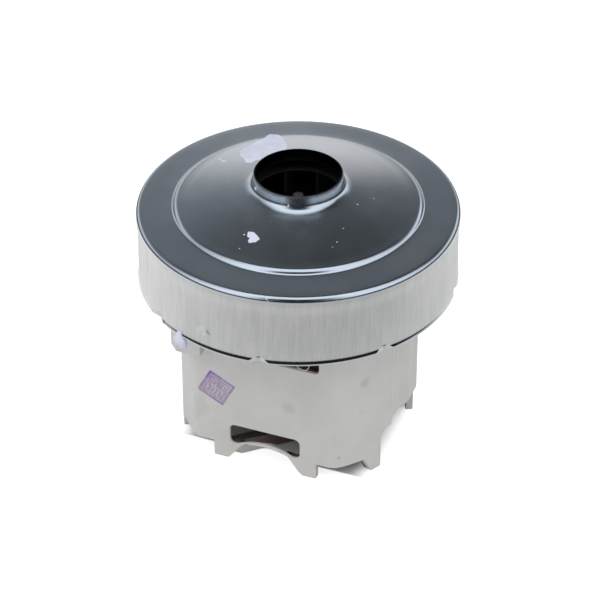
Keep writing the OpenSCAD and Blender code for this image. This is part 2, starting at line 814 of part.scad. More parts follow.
module field_coil_left() {
  color("sienna") field_coil(-1);
}
module field_coil_right() {
  color("sienna") field_coil(1);
}

// Ball bearings
pitch_r = (shaft_r + bearing_r) / 2;
race_gap = (bearing_r - shaft_r) * 0.46;
inner_land = pitch_r - race_gap / 2;
outer_land = pitch_r + race_gap / 2;
cage_t = ball_r * 0.5;
cage_edge = 0.5;
shield_t = 0.3;
lower_ball_z = lower_z + bearing_w / 2;
upper_ball_z = bracket_z + bearing_w / 2;
module groove() {
  rotate_extrude() translate([pitch_r, 0]) circle(ball_r + run);
}
module outer_race(z) {
  difference() {
    ring(bearing_r, outer_land, z, bearing_w);
    translate([0, 0, z + bearing_w / 2]) groove();
  }
}
module inner_race(z) {
  difference() {
    ring(inner_land, shaft_r + fit, z, bearing_w);
    translate([0, 0, z + bearing_w / 2]) groove();
  }
}
module ball_places() {
  for (i = [0:ball_count - 1]) rotate([0, 0, 360 * i / ball_count]) translate([pitch_r, 0, 0]) children();
}
module ball_ring(z) {
  translate([0, 0, z]) ball_places() sphere(ball_r);
}
module ball_cage(z) {
  cage_h = 2 * (ball_r + run + cage_edge);
  translate([0, 0, z]) difference() {
    ring(pitch_r + cage_t / 2, pitch_r - cage_t / 2, -cage_h / 2, cage_h);
    ball_places() rotate([0, 90, 0]) cylinder(r = ball_r + run, h = 2 * ball_r, center = true);
  }
}
module shield_pair(z) {
  for (h = [0, bearing_w - shield_t]) ring(outer_land - fit, inner_land + clear, z + h, shield_t);
}
module upper_outer_ring() {
  color("lightgray") outer_race(bracket_z);
}
module upper_inner_ring() {
  color("lightgray") inner_race(bracket_z);
}
module upper_shields() {
  color("gray") shield_pair(bracket_z);
}
module upper_balls() {
  color("white") ball_ring(upper_ball_z);
}
module upper_cage() {
  color("goldenrod") ball_cage(upper_ball_z);
}
module lower_outer_ring() {
  color("lightgray") outer_race(lower_z);
}
module lower_inner_ring() {
  color("lightgray") inner_race(lower_z);
}
module lower_shields() {
  color("gray") shield_pair(lower_z);
}
module lower_balls() {
  color("white") ball_ring(lower_ball_z);
}
module lower_cage() {
  color("goldenrod") ball_cage(lower_ball_z);
}
module bearing_damper() {
  color("black") ring(bearing_r + damper_t, bearing_r + fit, lower_z, bearing_w);
}

// Brush gear: holder, terminal, spring and brush, each built on +X
module sided(side) {
  mirror([side > 0 ? 0 : 1, 0, 0]) children();
}
module brush_holder(side) {
  bore_y = holder_y - 2 * holder_t;
  bore_h = holder_h - 2 * holder_t;
  color("goldenrod") sided(side) difference() {
    translate([holder_in, -holder_y / 2, brush_z - holder_h / 2])
      cube([holder_x - holder_in, holder_y, holder_h]);
    translate([holder_in - over, -bore_y / 2, brush_z - bore_h / 2])
      cube([holder_x - holder_in + 2 * over, bore_y, bore_h]);
  }
}
module brush_terminal(side) {
  tab_top = lead_z + tab_over;
  color("goldenrod") sided(side) union() {
    translate([holder_x, -holder_y / 2, brush_z - holder_h / 2])
      cube([terminal_t, holder_y, holder_h]);
    translate([holder_x, -tab_w / 2, brush_z]) cube([terminal_t, tab_w, tab_top - brush_z]);
  }
}
module brush_spring(side) {
  color("silver") sided(side) translate([brush_out, 0, brush_z]) rotate([0, 90, 0])
    ring(spring_r, spring_r - spring_t, 0, holder_x - brush_out);
}
module carbon_brush(side) {
  color("darkslategray") sided(side) difference() {
    translate([0, -brush_w / 2, brush_z - brush_h / 2]) cube([brush_out, brush_w, brush_h]);
    translate([0, 0, brush_z - brush_h]) cylinder(r = brush_in, h = 2 * brush_h);
  }
}
module brush_holder_left() {
  brush_holder(-1);
}
module brush_holder_right() {
  brush_holder(1);
}
module brush_terminal_left() {
  brush_terminal(-1);
}
module brush_terminal_right() {
  brush_terminal(1);
}
module brush_spring_left() {
  brush_spring(-1);
}
module brush_spring_right() {
  brush_spring(1);
}
module carbon_brush_left() {
  carbon_brush(-1);
}
module carbon_brush_right() {
  carbon_brush(1);
}
module brush_leads() {
  start = coil_x + coil_w;
  color("firebrick") both_ways() swept_tube([
    [start, 0, lead_z],
    [(start + holder_x) / 2, 0, lead_z],
    [holder_x, 0, lead_z]
  ], lead_r, 8);
}
module supply_terminals() {
  color("goldenrod") for (x = [-1, 1])
    translate([x * blade_x - blade_w / 2, blade_y - blade_thick / 2, blade_top - blade_l])
      cube([blade_w, blade_thick, blade_l]);
}
module supply_leads() {
  coil_mid = coil_x + coil_w / 2;
  color("steelblue") for (m = [0, 1]) mirror([m, 0, 0]) swept_tube([
    [coil_mid, coil_out_y, lead_z],
    [coil_mid, coil_out_y + lead_bow, lead_z],
    [(coil_mid + blade_x) / 2, blade_y - lead_bow, (lead_z + blade_top) / 2],
    [blade_x + lead_r, blade_y, blade_top + lead_bow],
    [blade_x, blade_y, blade_top + lead_bow / 2],
    [blade_x, blade_y, blade_top]
  ], lead_r, 8);
}

// Rotor: shaft, armature, commutator and impeller
module shaft() {
  tip = 0.4;
  low = lower_z - shaft_under;
  color("silver") union() {
    translate([0, 0, low]) cylinder(r1 = shaft_r - tip, r2 = shaft_r, h = tip);
    translate([0, 0, low + tip]) cylinder(r = shaft_r, h = back_z - low - tip);
    translate([0, 0, back_z]) cylinder(r = seat_r, h = washer_z - back_z);
    translate([0, 0, washer_z]) cylinder(r = thread_r, h = shaft_top - tip - washer_z);
    translate([0, 0, shaft_top - tip]) cylinder(r1 = thread_r, r2 = thread_r - tip, h = tip);
  }
}
module armature_slots(w, d, r) {
  for (i = [0:slot_count - 1])
    rotate(360 * i / slot_count) translate([r - d, -w / 2]) square([d + over, w]);
}
module armature_core() {
  color("dimgray") translate([0, 0, stack_z]) linear_extrude(stack_h) difference() {
    circle(arm_r);
    circle(shaft_r + fit);
    armature_slots(slot_t, slot_d, arm_r);
  }
}
module armature_winding() {
  slot_end = arm_r - slot_d + slip;
  bar_out = turn_r - slip;
  color("chocolate") union() {
    ring(turn_r, turn_in, turn_low, end_turn_h);
    ring(turn_r, turn_in, stack_top + end_disc_t, end_turn_h);
    translate([0, 0, turn_low + over])
      linear_extrude(stack_h + 2 * end_disc_t + 2 * end_turn_h - 2 * over)
      for (i = [0:slot_count - 1])
        rotate(360 * i / slot_count) translate([slot_end, slip - slot_t / 2])
          square([bar_out - slot_end, slot_t - 2 * slip]);
  }
}
module armature_end_discs() {
  color("tan") for (z = [disc_low, stack_top])
    translate([0, 0, z]) linear_extrude(end_disc_t) difference() {
      circle(arm_r - clear);
      circle(shaft_r + fit);
      armature_slots(slot_t, slot_d, arm_r);
    }
}
module commutator_hub() {
  color("saddlebrown") ring(mould_r, shaft_r + fit, comm_low - over, riser_top - comm_low + 2 * over);
}
module commutator_bars() {
  bar_a = 360 / bar_count - bar_gap / comm_r * 180 / PI;
  color("peru") for (i = [0:bar_count - 1])
    rotate([0, 0, 360 * i / bar_count - bar_a / 2]) rotate_extrude(angle = bar_a) polygon([
      [bar_in, comm_low],
      [comm_r, comm_low],
      [comm_r, riser_top - riser_h],
      [comm_r + riser_out, riser_top - riser_h],
      [comm_r + riser_out, riser_top],
      [bar_in, riser_top]
    ]);
}
module fan_spacer() {
  color("gray") ring((shaft_r + hub_r) / 2, shaft_r + fit, spacer_z, back_z - spacer_z);
}
module fan_hub() {
  color("lightgray") ring(hub_r, seat_r + fit, hub_z, hub_h);
}
module fan_washer() {
  color("silver") ring(hub_r - over, thread_r + fit, washer_z, washer_t);
}
module fan_nut() {
  color("gray") translate([0, 0, nut_z]) difference() {
    cylinder(r = nut_flats / 2 / cos(30), h = nut_h, $fn = 6);
    translate([0, 0, -over]) cylinder(r = thread_r + fit, h = nut_h + 2 * over);
  }
}
module impeller_back_plate() {
  color("lightgray") ring(fan_r, seat_r + fit, back_z, plate_t);
}
function front_at(r) = front_z + (fan_r - r) * front_rise;
module impeller_front_plate() {
  color("lightgray") revolved([
    [fan_r, front_z],
    [eye_r, front_at(eye_r)],
    [eye_r, front_at(eye_r) - plate_t],
    [fan_r, front_z - plate_t]
  ]);
}
// An impeller blade: centre of its bend, and the angles between which it is kept
blade_c = blade_bend * [0.62, -0.6];
blade_from = -30;
blade_to = 90;
module impeller_blades() {
  blade_in = eye_r + over;
  blade_out = fan_r - clear;
  color("lightgray") intersection() {
    revolved([
      [blade_in, hub_z + fit],
      [blade_out, hub_z + fit],
      [blade_out, front_at(blade_out) - plate_t - fit],
      [blade_in, front_at(blade_in) - plate_t - fit]
    ]);
    for (i = [0:blade_count - 1])
      rotate([0, 0, 360 * i / blade_count]) translate([0, 0, hub_z]) linear_extrude(far)
        intersection() {
          translate(blade_c) difference() {
            circle(blade_bend);
            circle(blade_bend - blade_t);
          }
          wedge(blade_from, blade_to);
        }
  }
}

fan_shroud();
diffuser();
bearing_bracket();
bracket_screws();
bearing_clip();
clip_screws();
motor_housing();
stator_core();
stator_screws();
field_coil_left();
field_coil_right();
upper_outer_ring();
upper_shields();
lower_outer_ring();
lower_shields();
bearing_damper();
brush_holder_left();
brush_holder_right();
brush_terminal_left();
brush_terminal_right();
brush_spring_left();
brush_spring_right();
brush_leads();
supply_terminals();
supply_leads();
shaft();
armature_core();
armature_winding();
armature_end_discs();
commutator_hub();
commutator_bars();
upper_inner_ring();
lower_inner_ring();
fan_spacer();
fan_hub();
impeller_back_plate();
impeller_blades();
impeller_front_plate();
fan_washer();
fan_nut();
upper_balls();
upper_cage();
lower_balls();
lower_cage();
carbon_brush_left();
carbon_brush_right();
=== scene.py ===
# %% [markdown]
# The motor unit of a canister vacuum cleaner, dressed for its photograph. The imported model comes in
# as a fixed frame in metres, standing on its feet at the origin with the shaft along Z. Every piece
# made below is fitted to that frame, so nothing here moves or resizes the machine itself.

# %% Load the frame
import json
from math import atan2, cos, hypot, pi, radians, remainder, sin, sqrt, tan

import bmesh
import bpy
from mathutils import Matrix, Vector


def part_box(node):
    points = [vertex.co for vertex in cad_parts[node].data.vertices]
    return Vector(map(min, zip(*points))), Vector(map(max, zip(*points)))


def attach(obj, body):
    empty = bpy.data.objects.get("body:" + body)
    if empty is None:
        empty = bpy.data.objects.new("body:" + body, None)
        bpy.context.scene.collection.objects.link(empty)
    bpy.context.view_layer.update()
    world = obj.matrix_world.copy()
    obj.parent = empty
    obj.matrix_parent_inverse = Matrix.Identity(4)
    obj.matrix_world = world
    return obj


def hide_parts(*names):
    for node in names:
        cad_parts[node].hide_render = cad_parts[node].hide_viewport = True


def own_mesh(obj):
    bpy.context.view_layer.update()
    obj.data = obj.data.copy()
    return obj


MM = 0.001
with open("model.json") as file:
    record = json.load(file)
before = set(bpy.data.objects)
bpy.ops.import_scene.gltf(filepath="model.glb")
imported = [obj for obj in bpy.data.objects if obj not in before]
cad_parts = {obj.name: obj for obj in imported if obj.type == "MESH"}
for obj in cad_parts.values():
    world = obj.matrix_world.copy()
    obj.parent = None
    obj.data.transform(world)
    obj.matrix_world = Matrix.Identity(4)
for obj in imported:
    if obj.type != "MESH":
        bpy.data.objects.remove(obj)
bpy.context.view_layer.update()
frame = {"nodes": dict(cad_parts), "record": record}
nodes = frame["nodes"]
bpy.ops.object.select_all(action="DESELECT")
print("nodes loaded:", len(nodes))

# %% [markdown]
# The photograph looks down on the motor from its front right, from rather far away, so the edges
# stay nearly parallel. The camera's place and lens come from matching the rim, the step, the collar
# and the feet to their places in the picture, and need no shift.

# %% Camera
bpy.ops.object.camera_add(location=(0.32089, -0.82050, 0.69417),
                          rotation=(radians(54.3083), 0, radians(21.313)))
camera = bpy.context.object
camera.name = "photo_camera"
camera.data.sensor_width = 36
camera.data.lens = 152.75
bpy.context.scene.camera = camera
print("camera lens:", camera.data.lens)

# %% [markdown]
# Bright sheet metal shows its surroundings more than its own colour. In the photograph it mirrors a
# white table and a white backdrop low behind it, a wide softbox overhead, tall white screens to the
# left and right, and a dim room everywhere else. Area lamps light the moulding. The sheet doesn't see
# them: the softbox and the screens that it mirrors are part of the world, where their edges are soft.

# %% Softboxes
MIDDLE = Vector((0, 0, 0.08))


def softbox(name, place, width, height, watts):
    aim = MIDDLE - Vector(place)
    bpy.ops.object.light_add(type="AREA", location=place, rotation=aim.to_track_quat("-Z", "Y").to_euler())
    lamp = bpy.context.object
    lamp.name = name
    lamp.data.shape = "RECTANGLE"
    lamp.data.size = width
    lamp.data.size_y = height
    lamp.data.energy = watts
    lamp.visible_camera = False
    lamp.visible_glossy = False
    print(name, "watts:", watts)


softbox("overhead_softbox", (0.085, -0.215, 1.25), 1.3, 1.05, 3.4)
softbox("left_softbox", (-0.683, -0.573, 0.803), 0.7, 0.9, 3.0)
softbox("right_softbox", (0.817, -0.358, 0.803), 0.7, 0.9, 2.0)

# %% [markdown]
# Node trees are written like sums. Each helper makes one node from sockets, plain numbers or colours,
# in the tree that the sockets belong to, and gives back its result. Two directions come up often: away
# from the camera, and to the right of its view.

# %% Helpers for shader nodes
VIEW_SIN, VIEW_COS = 0.3635, 0.9316


def add_node(tree, kind, **settings):
    """A new shader node; its kind is given without the words ShaderNode."""
    node = tree.nodes.new("ShaderNode" + kind)
    for key, value in settings.items():
        setattr(node, key, value)
    return node


def join(source, target):
    target.id_data.links.new(source, target)


def combine(kind, inputs, **settings):
    """A node fed with sockets, plain numbers or colours, in the tree that the sockets are in."""
    tree = next(v.id_data for v in inputs.values() if isinstance(v, bpy.types.NodeSocket))
    node = add_node(tree, kind, **settings)
    for key, value in inputs.items():
        if isinstance(value, bpy.types.NodeSocket):
            join(value, node.inputs[key])
        else:
            node.inputs[key].default_value = (*value, 1.0) if isinstance(value, tuple) else value
    return node.outputs


def figure(operation, *values, clamp=False):
    """The result of a Math node."""
    return combine("Math", dict(enumerate(values)), operation=operation, use_clamp=clamp)[0]


def times(*values):
    product = values[0]
    for value in values[1:]:
        product = figure("MULTIPLY", product, value)
    return product


def ramp(value, low, high, out_low=0.0, out_high=1.0, smooth=True):
    """A soft step from low to high."""
    inputs = {"Value": value, "From Min": low, "From Max": high, "To Min": out_low, "To Max": out_high}
    return combine("MapRange", inputs, interpolation_type="SMOOTHSTEP" if smooth else "LINEAR")["Result"]


def blend(factor, first, second, mode="MIX"):
    """Two colours mixed by a factor."""
    return combine("Mix", {0: factor, 6: first, 7: second}, data_type="RGBA", blend_type=mode)[2]


def blend_value(factor, first, second):
    return combine("Mix", {0: factor, 2: first, 3: second})[0]


def axes(vector):
    """The X, Y and Z of a vector."""
    return tuple(combine("SeparateXYZ", {0: vector}))


def vector_of(*parts):
    return combine("CombineXYZ", dict(enumerate(parts)))[0]


def reach(x, y):
    """Distance from the shaft's axis."""
    return combine("VectorMath", {0: vector_of(x, y)}, operation="LENGTH")["Value"]


def along_view(x, y):
    """How far a place lies away from the camera, and how far to the right of the view."""
    away = figure("ADD", times(x, -VIEW_SIN), times(y, VIEW_COS))
    return away, figure("ADD", times(x, VIEW_COS), times(y, VIEW_SIN))


def new_finish(name, metal, rough):
    """A material, the inputs of its shader, and the place on the piece."""
    material = bpy.data.materials.new(name)
    material.use_nodes = True
    look = material.node_tree.nodes["Principled BSDF"].inputs
    look["Metallic"].default_value = metal
    look["Roughness"].default_value = rough
    return material, look, add_node(material.node_tree, "TexCoord").outputs["Object"]


print("shader helpers ready")

# %% [markdown]
# Every part of the world is a soft step by height or by how far a direction faces away from the
# camera. The camera itself sees plain white, matt surfaces get an even fill, and only a mirror sees the
# backdrop, the room, the screens and the softbox.

# %% World
world = bpy.data.worlds.new("studio")
bpy.context.scene.world = world
world.use_nodes = True
sky = world.node_tree
sky.nodes.clear()
direction = add_node(sky, "TexCoord").outputs["Generated"]
x, y, height = axes(direction)
away, side = along_view(x, y)
level = figure("SQRT", figure("SUBTRACT", 1.0001, times(height, height)))
facing = figure("DIVIDE", away, level)
backdrop = times(ramp(facing, 0.78, 0.975), ramp(height, 0.14, 0.46, 0.62, 0.0))
room = times(ramp(height, 0.40, 0.92, 0.27, 0.045, smooth=False),
             ramp(facing, -0.2, 0.75, 0.08, 1.0), ramp(side, -0.05, 0.32, 1.03, 0.60))
lower_half = times(ramp(height, 0.09, 0.18), ramp(height, 0.56, 0.36), ramp(facing, 0.93, 0.80))
upper_half = times(ramp(height, 0.28, 0.40), ramp(height, 0.97, 0.84), ramp(facing, 0.40, 0.05))
upright = times(figure("MAXIMUM", lower_half, upper_half), ramp(facing, -0.97, -0.82))
above = figure("MAXIMUM", height, 0.05)
lamp_side = figure("ABSOLUTE", figure("DIVIDE", side, above))
lamp_away = figure("ABSOLUTE", figure("ADD", figure("DIVIDE", away, above), 0.28))
overhead = times(ramp(lamp_side, 0.70, 0.46), ramp(lamp_away, 0.50, 0.32, 0.0, 1.15))
on_right = ramp(side, -0.3, 0.3)
left_level = times(ramp(facing, -0.65, 0.25, 1.15, 0.50), figure("SUBTRACT", 1.0, on_right))
right_level = times(ramp(facing, -0.65, 0.25, 1.1, 0.85), on_right)
screens = times(upright, figure("ADD", left_level, right_level))
cool = figure("ADD", room, figure("MAXIMUM", screens, overhead))
mirrored = blend(1.0, blend(1.0, cool, (0.92, 1.0, 1.095), "MULTIPLY"),
                 blend(1.0, backdrop, (1.055, 1.0, 0.965), "MULTIPLY"), "ADD")
paths = add_node(sky, "LightPath")
shiny = figure("ADD", paths.outputs["Is Glossy Ray"], paths.outputs["Is Transmission Ray"], clamp=True)
fill = blend(shiny, (0.54, 0.54, 0.55), mirrored)
colour = blend(paths.outputs["Is Camera Ray"], fill, (1.0, 1.0, 1.0))
background = add_node(sky, "Background")
join(colour, background.inputs["Color"])
join(background.outputs[0], add_node(sky, "OutputWorld").inputs["Surface"])
bpy.context.scene.view_settings.view_transform = "Standard"
print("world nodes:", len(sky.nodes))

# %% [markdown]
# The table is plain white. A camera would record it as pure white, so a little glow is added where
# the camera looks at it, and none under the motor, where the shadow has to stay. A mirror sees the
# lit paper near the motor and less of it far away, where the dim room begins.

# %% Table
bpy.ops.mesh.primitive_plane_add(size=14, location=(0, 0, 0))
table = bpy.context.object
table.name = "table"
paper, look, place = new_finish("white_table", 0.0, 0.9)
look["Specular IOR Level"].default_value = 0.0
paths = add_node(paper.node_tree, "LightPath")
glossy = paths.outputs["Is Glossy Ray"]
seen = figure("ADD", paths.outputs["Is Camera Ray"], paths.outputs["Is Transmission Ray"], clamp=True)
x, y, _ = axes(place)
distance = reach(x, y)
away, side = along_view(x, y)
off_x, off_y = figure("ABSOLUTE", x), figure("ABSOLUTE", y)
bulge = figure("MINIMUM", times(off_x, off_x, 30.0), 0.004)
beside = figure("SUBTRACT", off_y, bulge)
open_table = figure("MAXIMUM", ramp(off_x, 0.034, 0.0468), ramp(beside, 0.0269, 0.0281))
lit_paper = times(ramp(distance, 0.28, 0.55, 1.0, 0.03), ramp(distance, 0.030, 0.070),
                  ramp(away, -0.25, 0.15, 0.66, 1.03), ramp(side, -0.15, 0.15, 1.07, 0.93, smooth=False))
glow = figure("ADD", times(seen, open_table, 0.75), times(glossy, lit_paper))
join(blend(glossy, (0.86, 0.86, 0.86), (0.0, 0.0, 0.0)), look["Base Color"])
look["Emission Color"].default_value = (1, 1, 1, 1)
join(glow, look["Emission Strength"])
table.data.materials.append(paper)
print("table made")

# %% [markdown]
# Two effects come up again and again on this machine. Cloudiness is the slow change of tone in a
# moulding or a plating, with a fine grain over it. Drawing streaks are the fine upright lines that a
# press leaves on a deep drawn cup. Each is one node group with its own inputs, so that every material
# can set its own scale.

# %% Shared effects
def new_group(name, setting, value, outputs):
    """A node group with a Vector and one setting as its inputs, and plain numbers as its outputs."""
    group = bpy.data.node_groups.new(name, "ShaderNodeTree")
    group.interface.new_socket("Vector", in_out="INPUT", socket_type="NodeSocketVector")
    group.interface.new_socket(setting, in_out="INPUT", socket_type="NodeSocketFloat").default_value = value
    for label in outputs:
        group.interface.new_socket(label, in_out="OUTPUT", socket_type="NodeSocketFloat")
    start = group.nodes.new("NodeGroupInput").outputs
    return group, start["Vector"], start[setting], group.nodes.new("NodeGroupOutput").inputs


def noise(vector, scale, detail=3.0, rough=0.5):
    inputs = {"Vector": vector, "Scale": scale, "Detail": detail, "Roughness": rough}
    return combine("TexNoise", inputs)["Fac"]


cloud_group, vector, scale, result = new_group("cloudiness", "Scale", 60.0, ("Cloud", "Grain"))
clouds = noise(vector, scale, 5.0, 0.6)
join(ramp(clouds, 0.3, 0.7), result["Cloud"])
join(noise(vector, times(scale, 30.0), 2.0), result["Grain"])

streak_group, vector, density, result = new_group("drawing_streaks", "Density", 500.0, ("Streak", "Height"))
x, y, z = axes(vector)
x, y, _ = axes(combine("VectorMath", {0: vector_of(x, y)}, operation="NORMALIZE")[0])
stretched = vector_of(x, y, times(z, 0.9))
lines = noise(stretched, density, 3.0, 0.65)
join(ramp(lines, 0.32, 0.68), result["Streak"])
join(lines, result["Height"])
print("shared effects:", [g.name for g in bpy.data.node_groups])

# %% [markdown]
# A finish starts from the shader, the place on the piece in Object coordinates, and the shared
# effects. These helpers bring them together, so that each finish below only says what is special
# about it.

# %% Helpers for finishes
def use_group(group, vector, **values):
    return combine("Group", {"Vector": vector, **values}, node_tree=group)


def bumped(look, heights, strength, distance):
    inputs = {"Height": heights, "Strength": strength, "Distance": distance}
    join(combine("Bump", inputs)[0], look["Normal"])


def plain_finish(name, tone, other, metal, rough, scale=90.0, spread=0.12, depth=0.00002):
    """A finish with cloudy tone, uneven gloss and a fine grain."""
    material, look, place = new_finish(name, metal, rough)
    cloud = use_group(cloud_group, place, Scale=scale)
    join(blend(cloud["Cloud"], tone, other), look["Base Color"])
    gloss = ramp(cloud["Grain"], 0.25, 0.75, rough - spread, rough + spread)
    join(gloss, look["Roughness"])
    bumped(look, cloud["Grain"], 0.35, depth)
    return material


print("finish helpers ready")

# %% [markdown]
# The shroud is zinc-plated steel sheet. Its top was pressed smooth and mirrors softly; its band was
# stretched upwards by the press and is duller, with fine upright streaks, down to the lip, which the
# tool burnished bright again. The plating is slightly blue, with faint clouds. Low on the band in
# front sits a small light flake of residue, with its shadow painted beside it as two dark spots, and
# a nick in the rim catches the light.

# %% Zinc-plated sheet
def spot_mask(place, centre, radius, soft=0.5):
    """One inside a ball round a point given in millimetres, zero outside, with a soft edge."""
    gap = combine("VectorMath", {0: place, 1: [c * MM for c in centre]}, operation="DISTANCE")["Value"]
    return ramp(gap, radius * MM, radius * MM * (1 - soft))


zinc, look, place = new_finish("zinc_plated_sheet", 1.0, 0.2)
x, y, z = axes(place)
on_band = times(ramp(z, 0.1080, 0.1068), ramp(z, 0.0786, 0.0791))
cloud = use_group(cloud_group, place, Scale=38.0)
streak = use_group(streak_group, place, Density=60.0)
plate = blend(cloud["Cloud"], (0.585, 0.625, 0.670), (0.635, 0.670, 0.710))
mottle = figure("ADD", times(streak["Streak"], 0.30), times(cloud["Grain"], 0.45))
mottle = figure("ADD", mottle, times(cloud["Cloud"], 0.25))
band_tone = blend(mottle, (0.590, 0.600, 0.605), (0.735, 0.737, 0.727))
tone = blend(on_band, plate, band_tone)
# The first spot is a light flake of residue; the two dark ones beside it are its painted shadow.
for centre, radius, weight, residue_and_shade_tone in (((-16.6, -65.1, 85.0), 3.2, 0.55, (0.78, 0.78, 0.84)),
                                     ((-13.2, -65.9, 85.9), 1.5, 0.75, (0.32, 0.33, 0.40)),
                                     ((-12.0, -66.1, 84.0), 0.9, 0.75, (0.32, 0.33, 0.40))):
    patch = times(spot_mask(place, centre, radius), ramp(noise(place, 520.0, 3.0), 0.40, 0.55), weight)
    tone = blend(patch, tone, residue_and_shade_tone)
from_axis = reach(x, y)
# Painted shade: the inner face of the collar is painted near black, as the dark inside of the inlet.
shaded_bore = ramp(from_axis, 0.01836, 0.01820)
by_collar = times(ramp(from_axis, 0.0207, 0.0222), ramp(from_axis, 0.040, 0.024, 0.0, 0.09))
tone = blend(shaded_bore, tone, (0.02, 0.02, 0.021))
join(tone, look["Base Color"])
top_gloss = figure("ADD", ramp(cloud["Cloud"], 0.0, 1.0, 0.17, 0.23), by_collar)
band_gloss = ramp(streak["Streak"], 0.0, 1.0, 0.42, 0.36)
gloss = blend_value(on_band, top_gloss, band_gloss)
on_lip = ramp(z, 0.0793, 0.0788)
join(blend_value(on_lip, gloss, 0.09), look["Roughness"])
nick = times(spot_mask(place, (13.0, -65.9, 109.0), 0.9), 4.0)
relief = figure("ADD", times(streak["Height"], on_band, 0.6), nick)
bumped(look, figure("ADD", relief, times(cloud["Grain"], 0.20)), 0.30, 0.00006)
print("finish:", zinc.name)

# %% [markdown]
# The housing is an off-white thermoset, filled with short glass fibres, so its skin is matt and
# faintly mottled. Handling has left a few grey smudges on it. Low down it is painted lighter, as
# painted light on feet that are also a little yellower. Inside, behind the openings, the walls are
# painted dark brown: painted shade where little light gets in.

# %% Housing moulding
moulding, look, place = new_finish("off_white_moulding", 0.0, 0.55)
cloud = use_group(cloud_group, place, Scale=45.0)
body_tone = blend(cloud["Cloud"], (0.615, 0.610, 0.595), (0.665, 0.660, 0.645))
speck = ramp(noise(place, 700.0, 2.0), 0.62, 0.70)
body_tone = blend(times(speck, 0.20), body_tone, (0.52, 0.51, 0.49))
smudge = ramp(noise(place, 42.0, 4.0, 0.55), 0.63, 0.74)
body_tone = blend(times(smudge, 0.25), body_tone, (0.42, 0.42, 0.41))
for centre, radius, weight in (((11.3, -39.6, 35.0), 4.5, 0.30), ((41.2, -29.3, 49.2), 3.5, 0.35),
                               ((33.3, -38.0, 13.3), 1.2, 0.60)):
    mark = times(spot_mask(place, centre, radius, 0.8), weight)
    body_tone = blend(mark, body_tone, (0.36, 0.36, 0.36))
x, y, z = axes(place)
# Painted light: over the lowest 12 mm the moulding is painted lighter, on feet that are also a little
# yellower.
yellow_and_painted_light = ramp(z, 0.012, 0.002, 0.0, 0.6)
body_tone = blend(yellow_and_painted_light, body_tone, (0.73, 0.71, 0.66))
# Painted shade: inside, behind the openings, the walls are painted dark brown with a faint mottle.
from_middle = figure("ABSOLUTE", y)
inside = times(ramp(from_middle, 0.0386, 0.0382), ramp(reach(x, y), 0.0477, 0.0473))
bar_middle = figure("MAXIMUM", figure("SUBTRACT", 0.0108, times(x, x, 17.7)), 0.007)
depth = figure("MAXIMUM", figure("SUBTRACT", 0.0381, from_middle), 0.0)
into_recess = figure("ADD", figure("SUBTRACT", z, bar_middle), times(depth, 0.75))
shade_mottle = ramp(noise(place, 60.0, 4.0), 0.2, 0.6, 0.90, 1.0)
painted_inner_shade = times(inside, ramp(into_recess, -0.0003, 0.0003), shade_mottle)
join(blend(painted_inner_shade, body_tone, (0.098, 0.064, 0.054)), look["Base Color"])
join(ramp(cloud["Grain"], 0.3, 0.7, 0.46, 0.60), look["Roughness"])
bumped(look, cloud["Grain"], 0.25, 0.00003)
print("finish:", moulding.name)

# %% [markdown]
# The other finishes are met only through the openings, from below or when the machine is taken
# apart: plated brackets, blackened screws, ground shaft and bearing steel, varnished iron, copper,
# brass, carbon and board.

# %% Inner finishes
PLAIN = (
    ("white_moulding", "white_vane_moulding", (0.70, 0.70, 0.68), (0.78, 0.78, 0.76), 0.0, 0.5),
    ("bracket_sheet", "plated_bracket", (0.50, 0.51, 0.53), (0.60, 0.61, 0.62), 1.0, 0.36, 55.0),
    ("screw_steel", "screw_steel", (0.34, 0.34, 0.35), (0.45, 0.45, 0.45), 1.0, 0.38, 160.0),
    ("shaft_steel", "ground_shaft", (0.36, 0.33, 0.31), (0.44, 0.41, 0.39), 1.0, 0.34, 140.0, 0.06),
    ("bearing_steel", "bearing_steel", (0.62, 0.62, 0.63), (0.68, 0.68, 0.69), 1.0, 0.18, 120.0, 0.05),
    ("cage_brass", "cage_brass", (0.58, 0.42, 0.18), (0.66, 0.50, 0.24), 1.0, 0.32, 200.0, 0.08),
    ("damper_rubber", "damper_rubber", (0.018, 0.018, 0.018), (0.035, 0.034, 0.033), 0.0, 0.72, 200.0),
    ("insulating_board", "insulating_board", (0.42, 0.35, 0.22), (0.52, 0.45, 0.31), 0.0, 0.62, 150.0),
    ("hub_moulding", "phenolic_hub", (0.10, 0.045, 0.025), (0.14, 0.065, 0.035), 0.0, 0.42, 180.0),
    ("terminal_brass", "stamped_brass", (0.62, 0.47, 0.20), (0.70, 0.56, 0.28), 1.0, 0.34, 150.0, 0.1),
    ("carbon", "brush_carbon", (0.022, 0.022, 0.024), (0.045, 0.045, 0.048), 0.0, 0.5, 260.0),
    # Painted shade: the fan deep inside the inlet is painted near black.
    ("fan_sheet", "shade_black_fan_sheet", (0.006, 0.006, 0.006), (0.011, 0.011, 0.011), 0.0, 0.6, 90.0),
    ("lead_sleeve", "lead_sleeve", (0.30, 0.16, 0.09), (0.38, 0.22, 0.13), 0.0, 0.45, 220.0),
)
finishes = {"plated_sheet": zinc, "housing_moulding": moulding}
for slot, *settings in PLAIN:
    finishes[slot] = plain_finish(*settings)
print("inner finishes:", len(finishes))

# %% [markdown]
# Two more have a direction. Laminated iron shows its stacked sheets as fine lines across the
# shaft. Commutator copper is turned, then browned by the brushes in a ring. The windings are copper
# wire under red-brown varnish; their turns are modelled, so the finish only needs its colour.

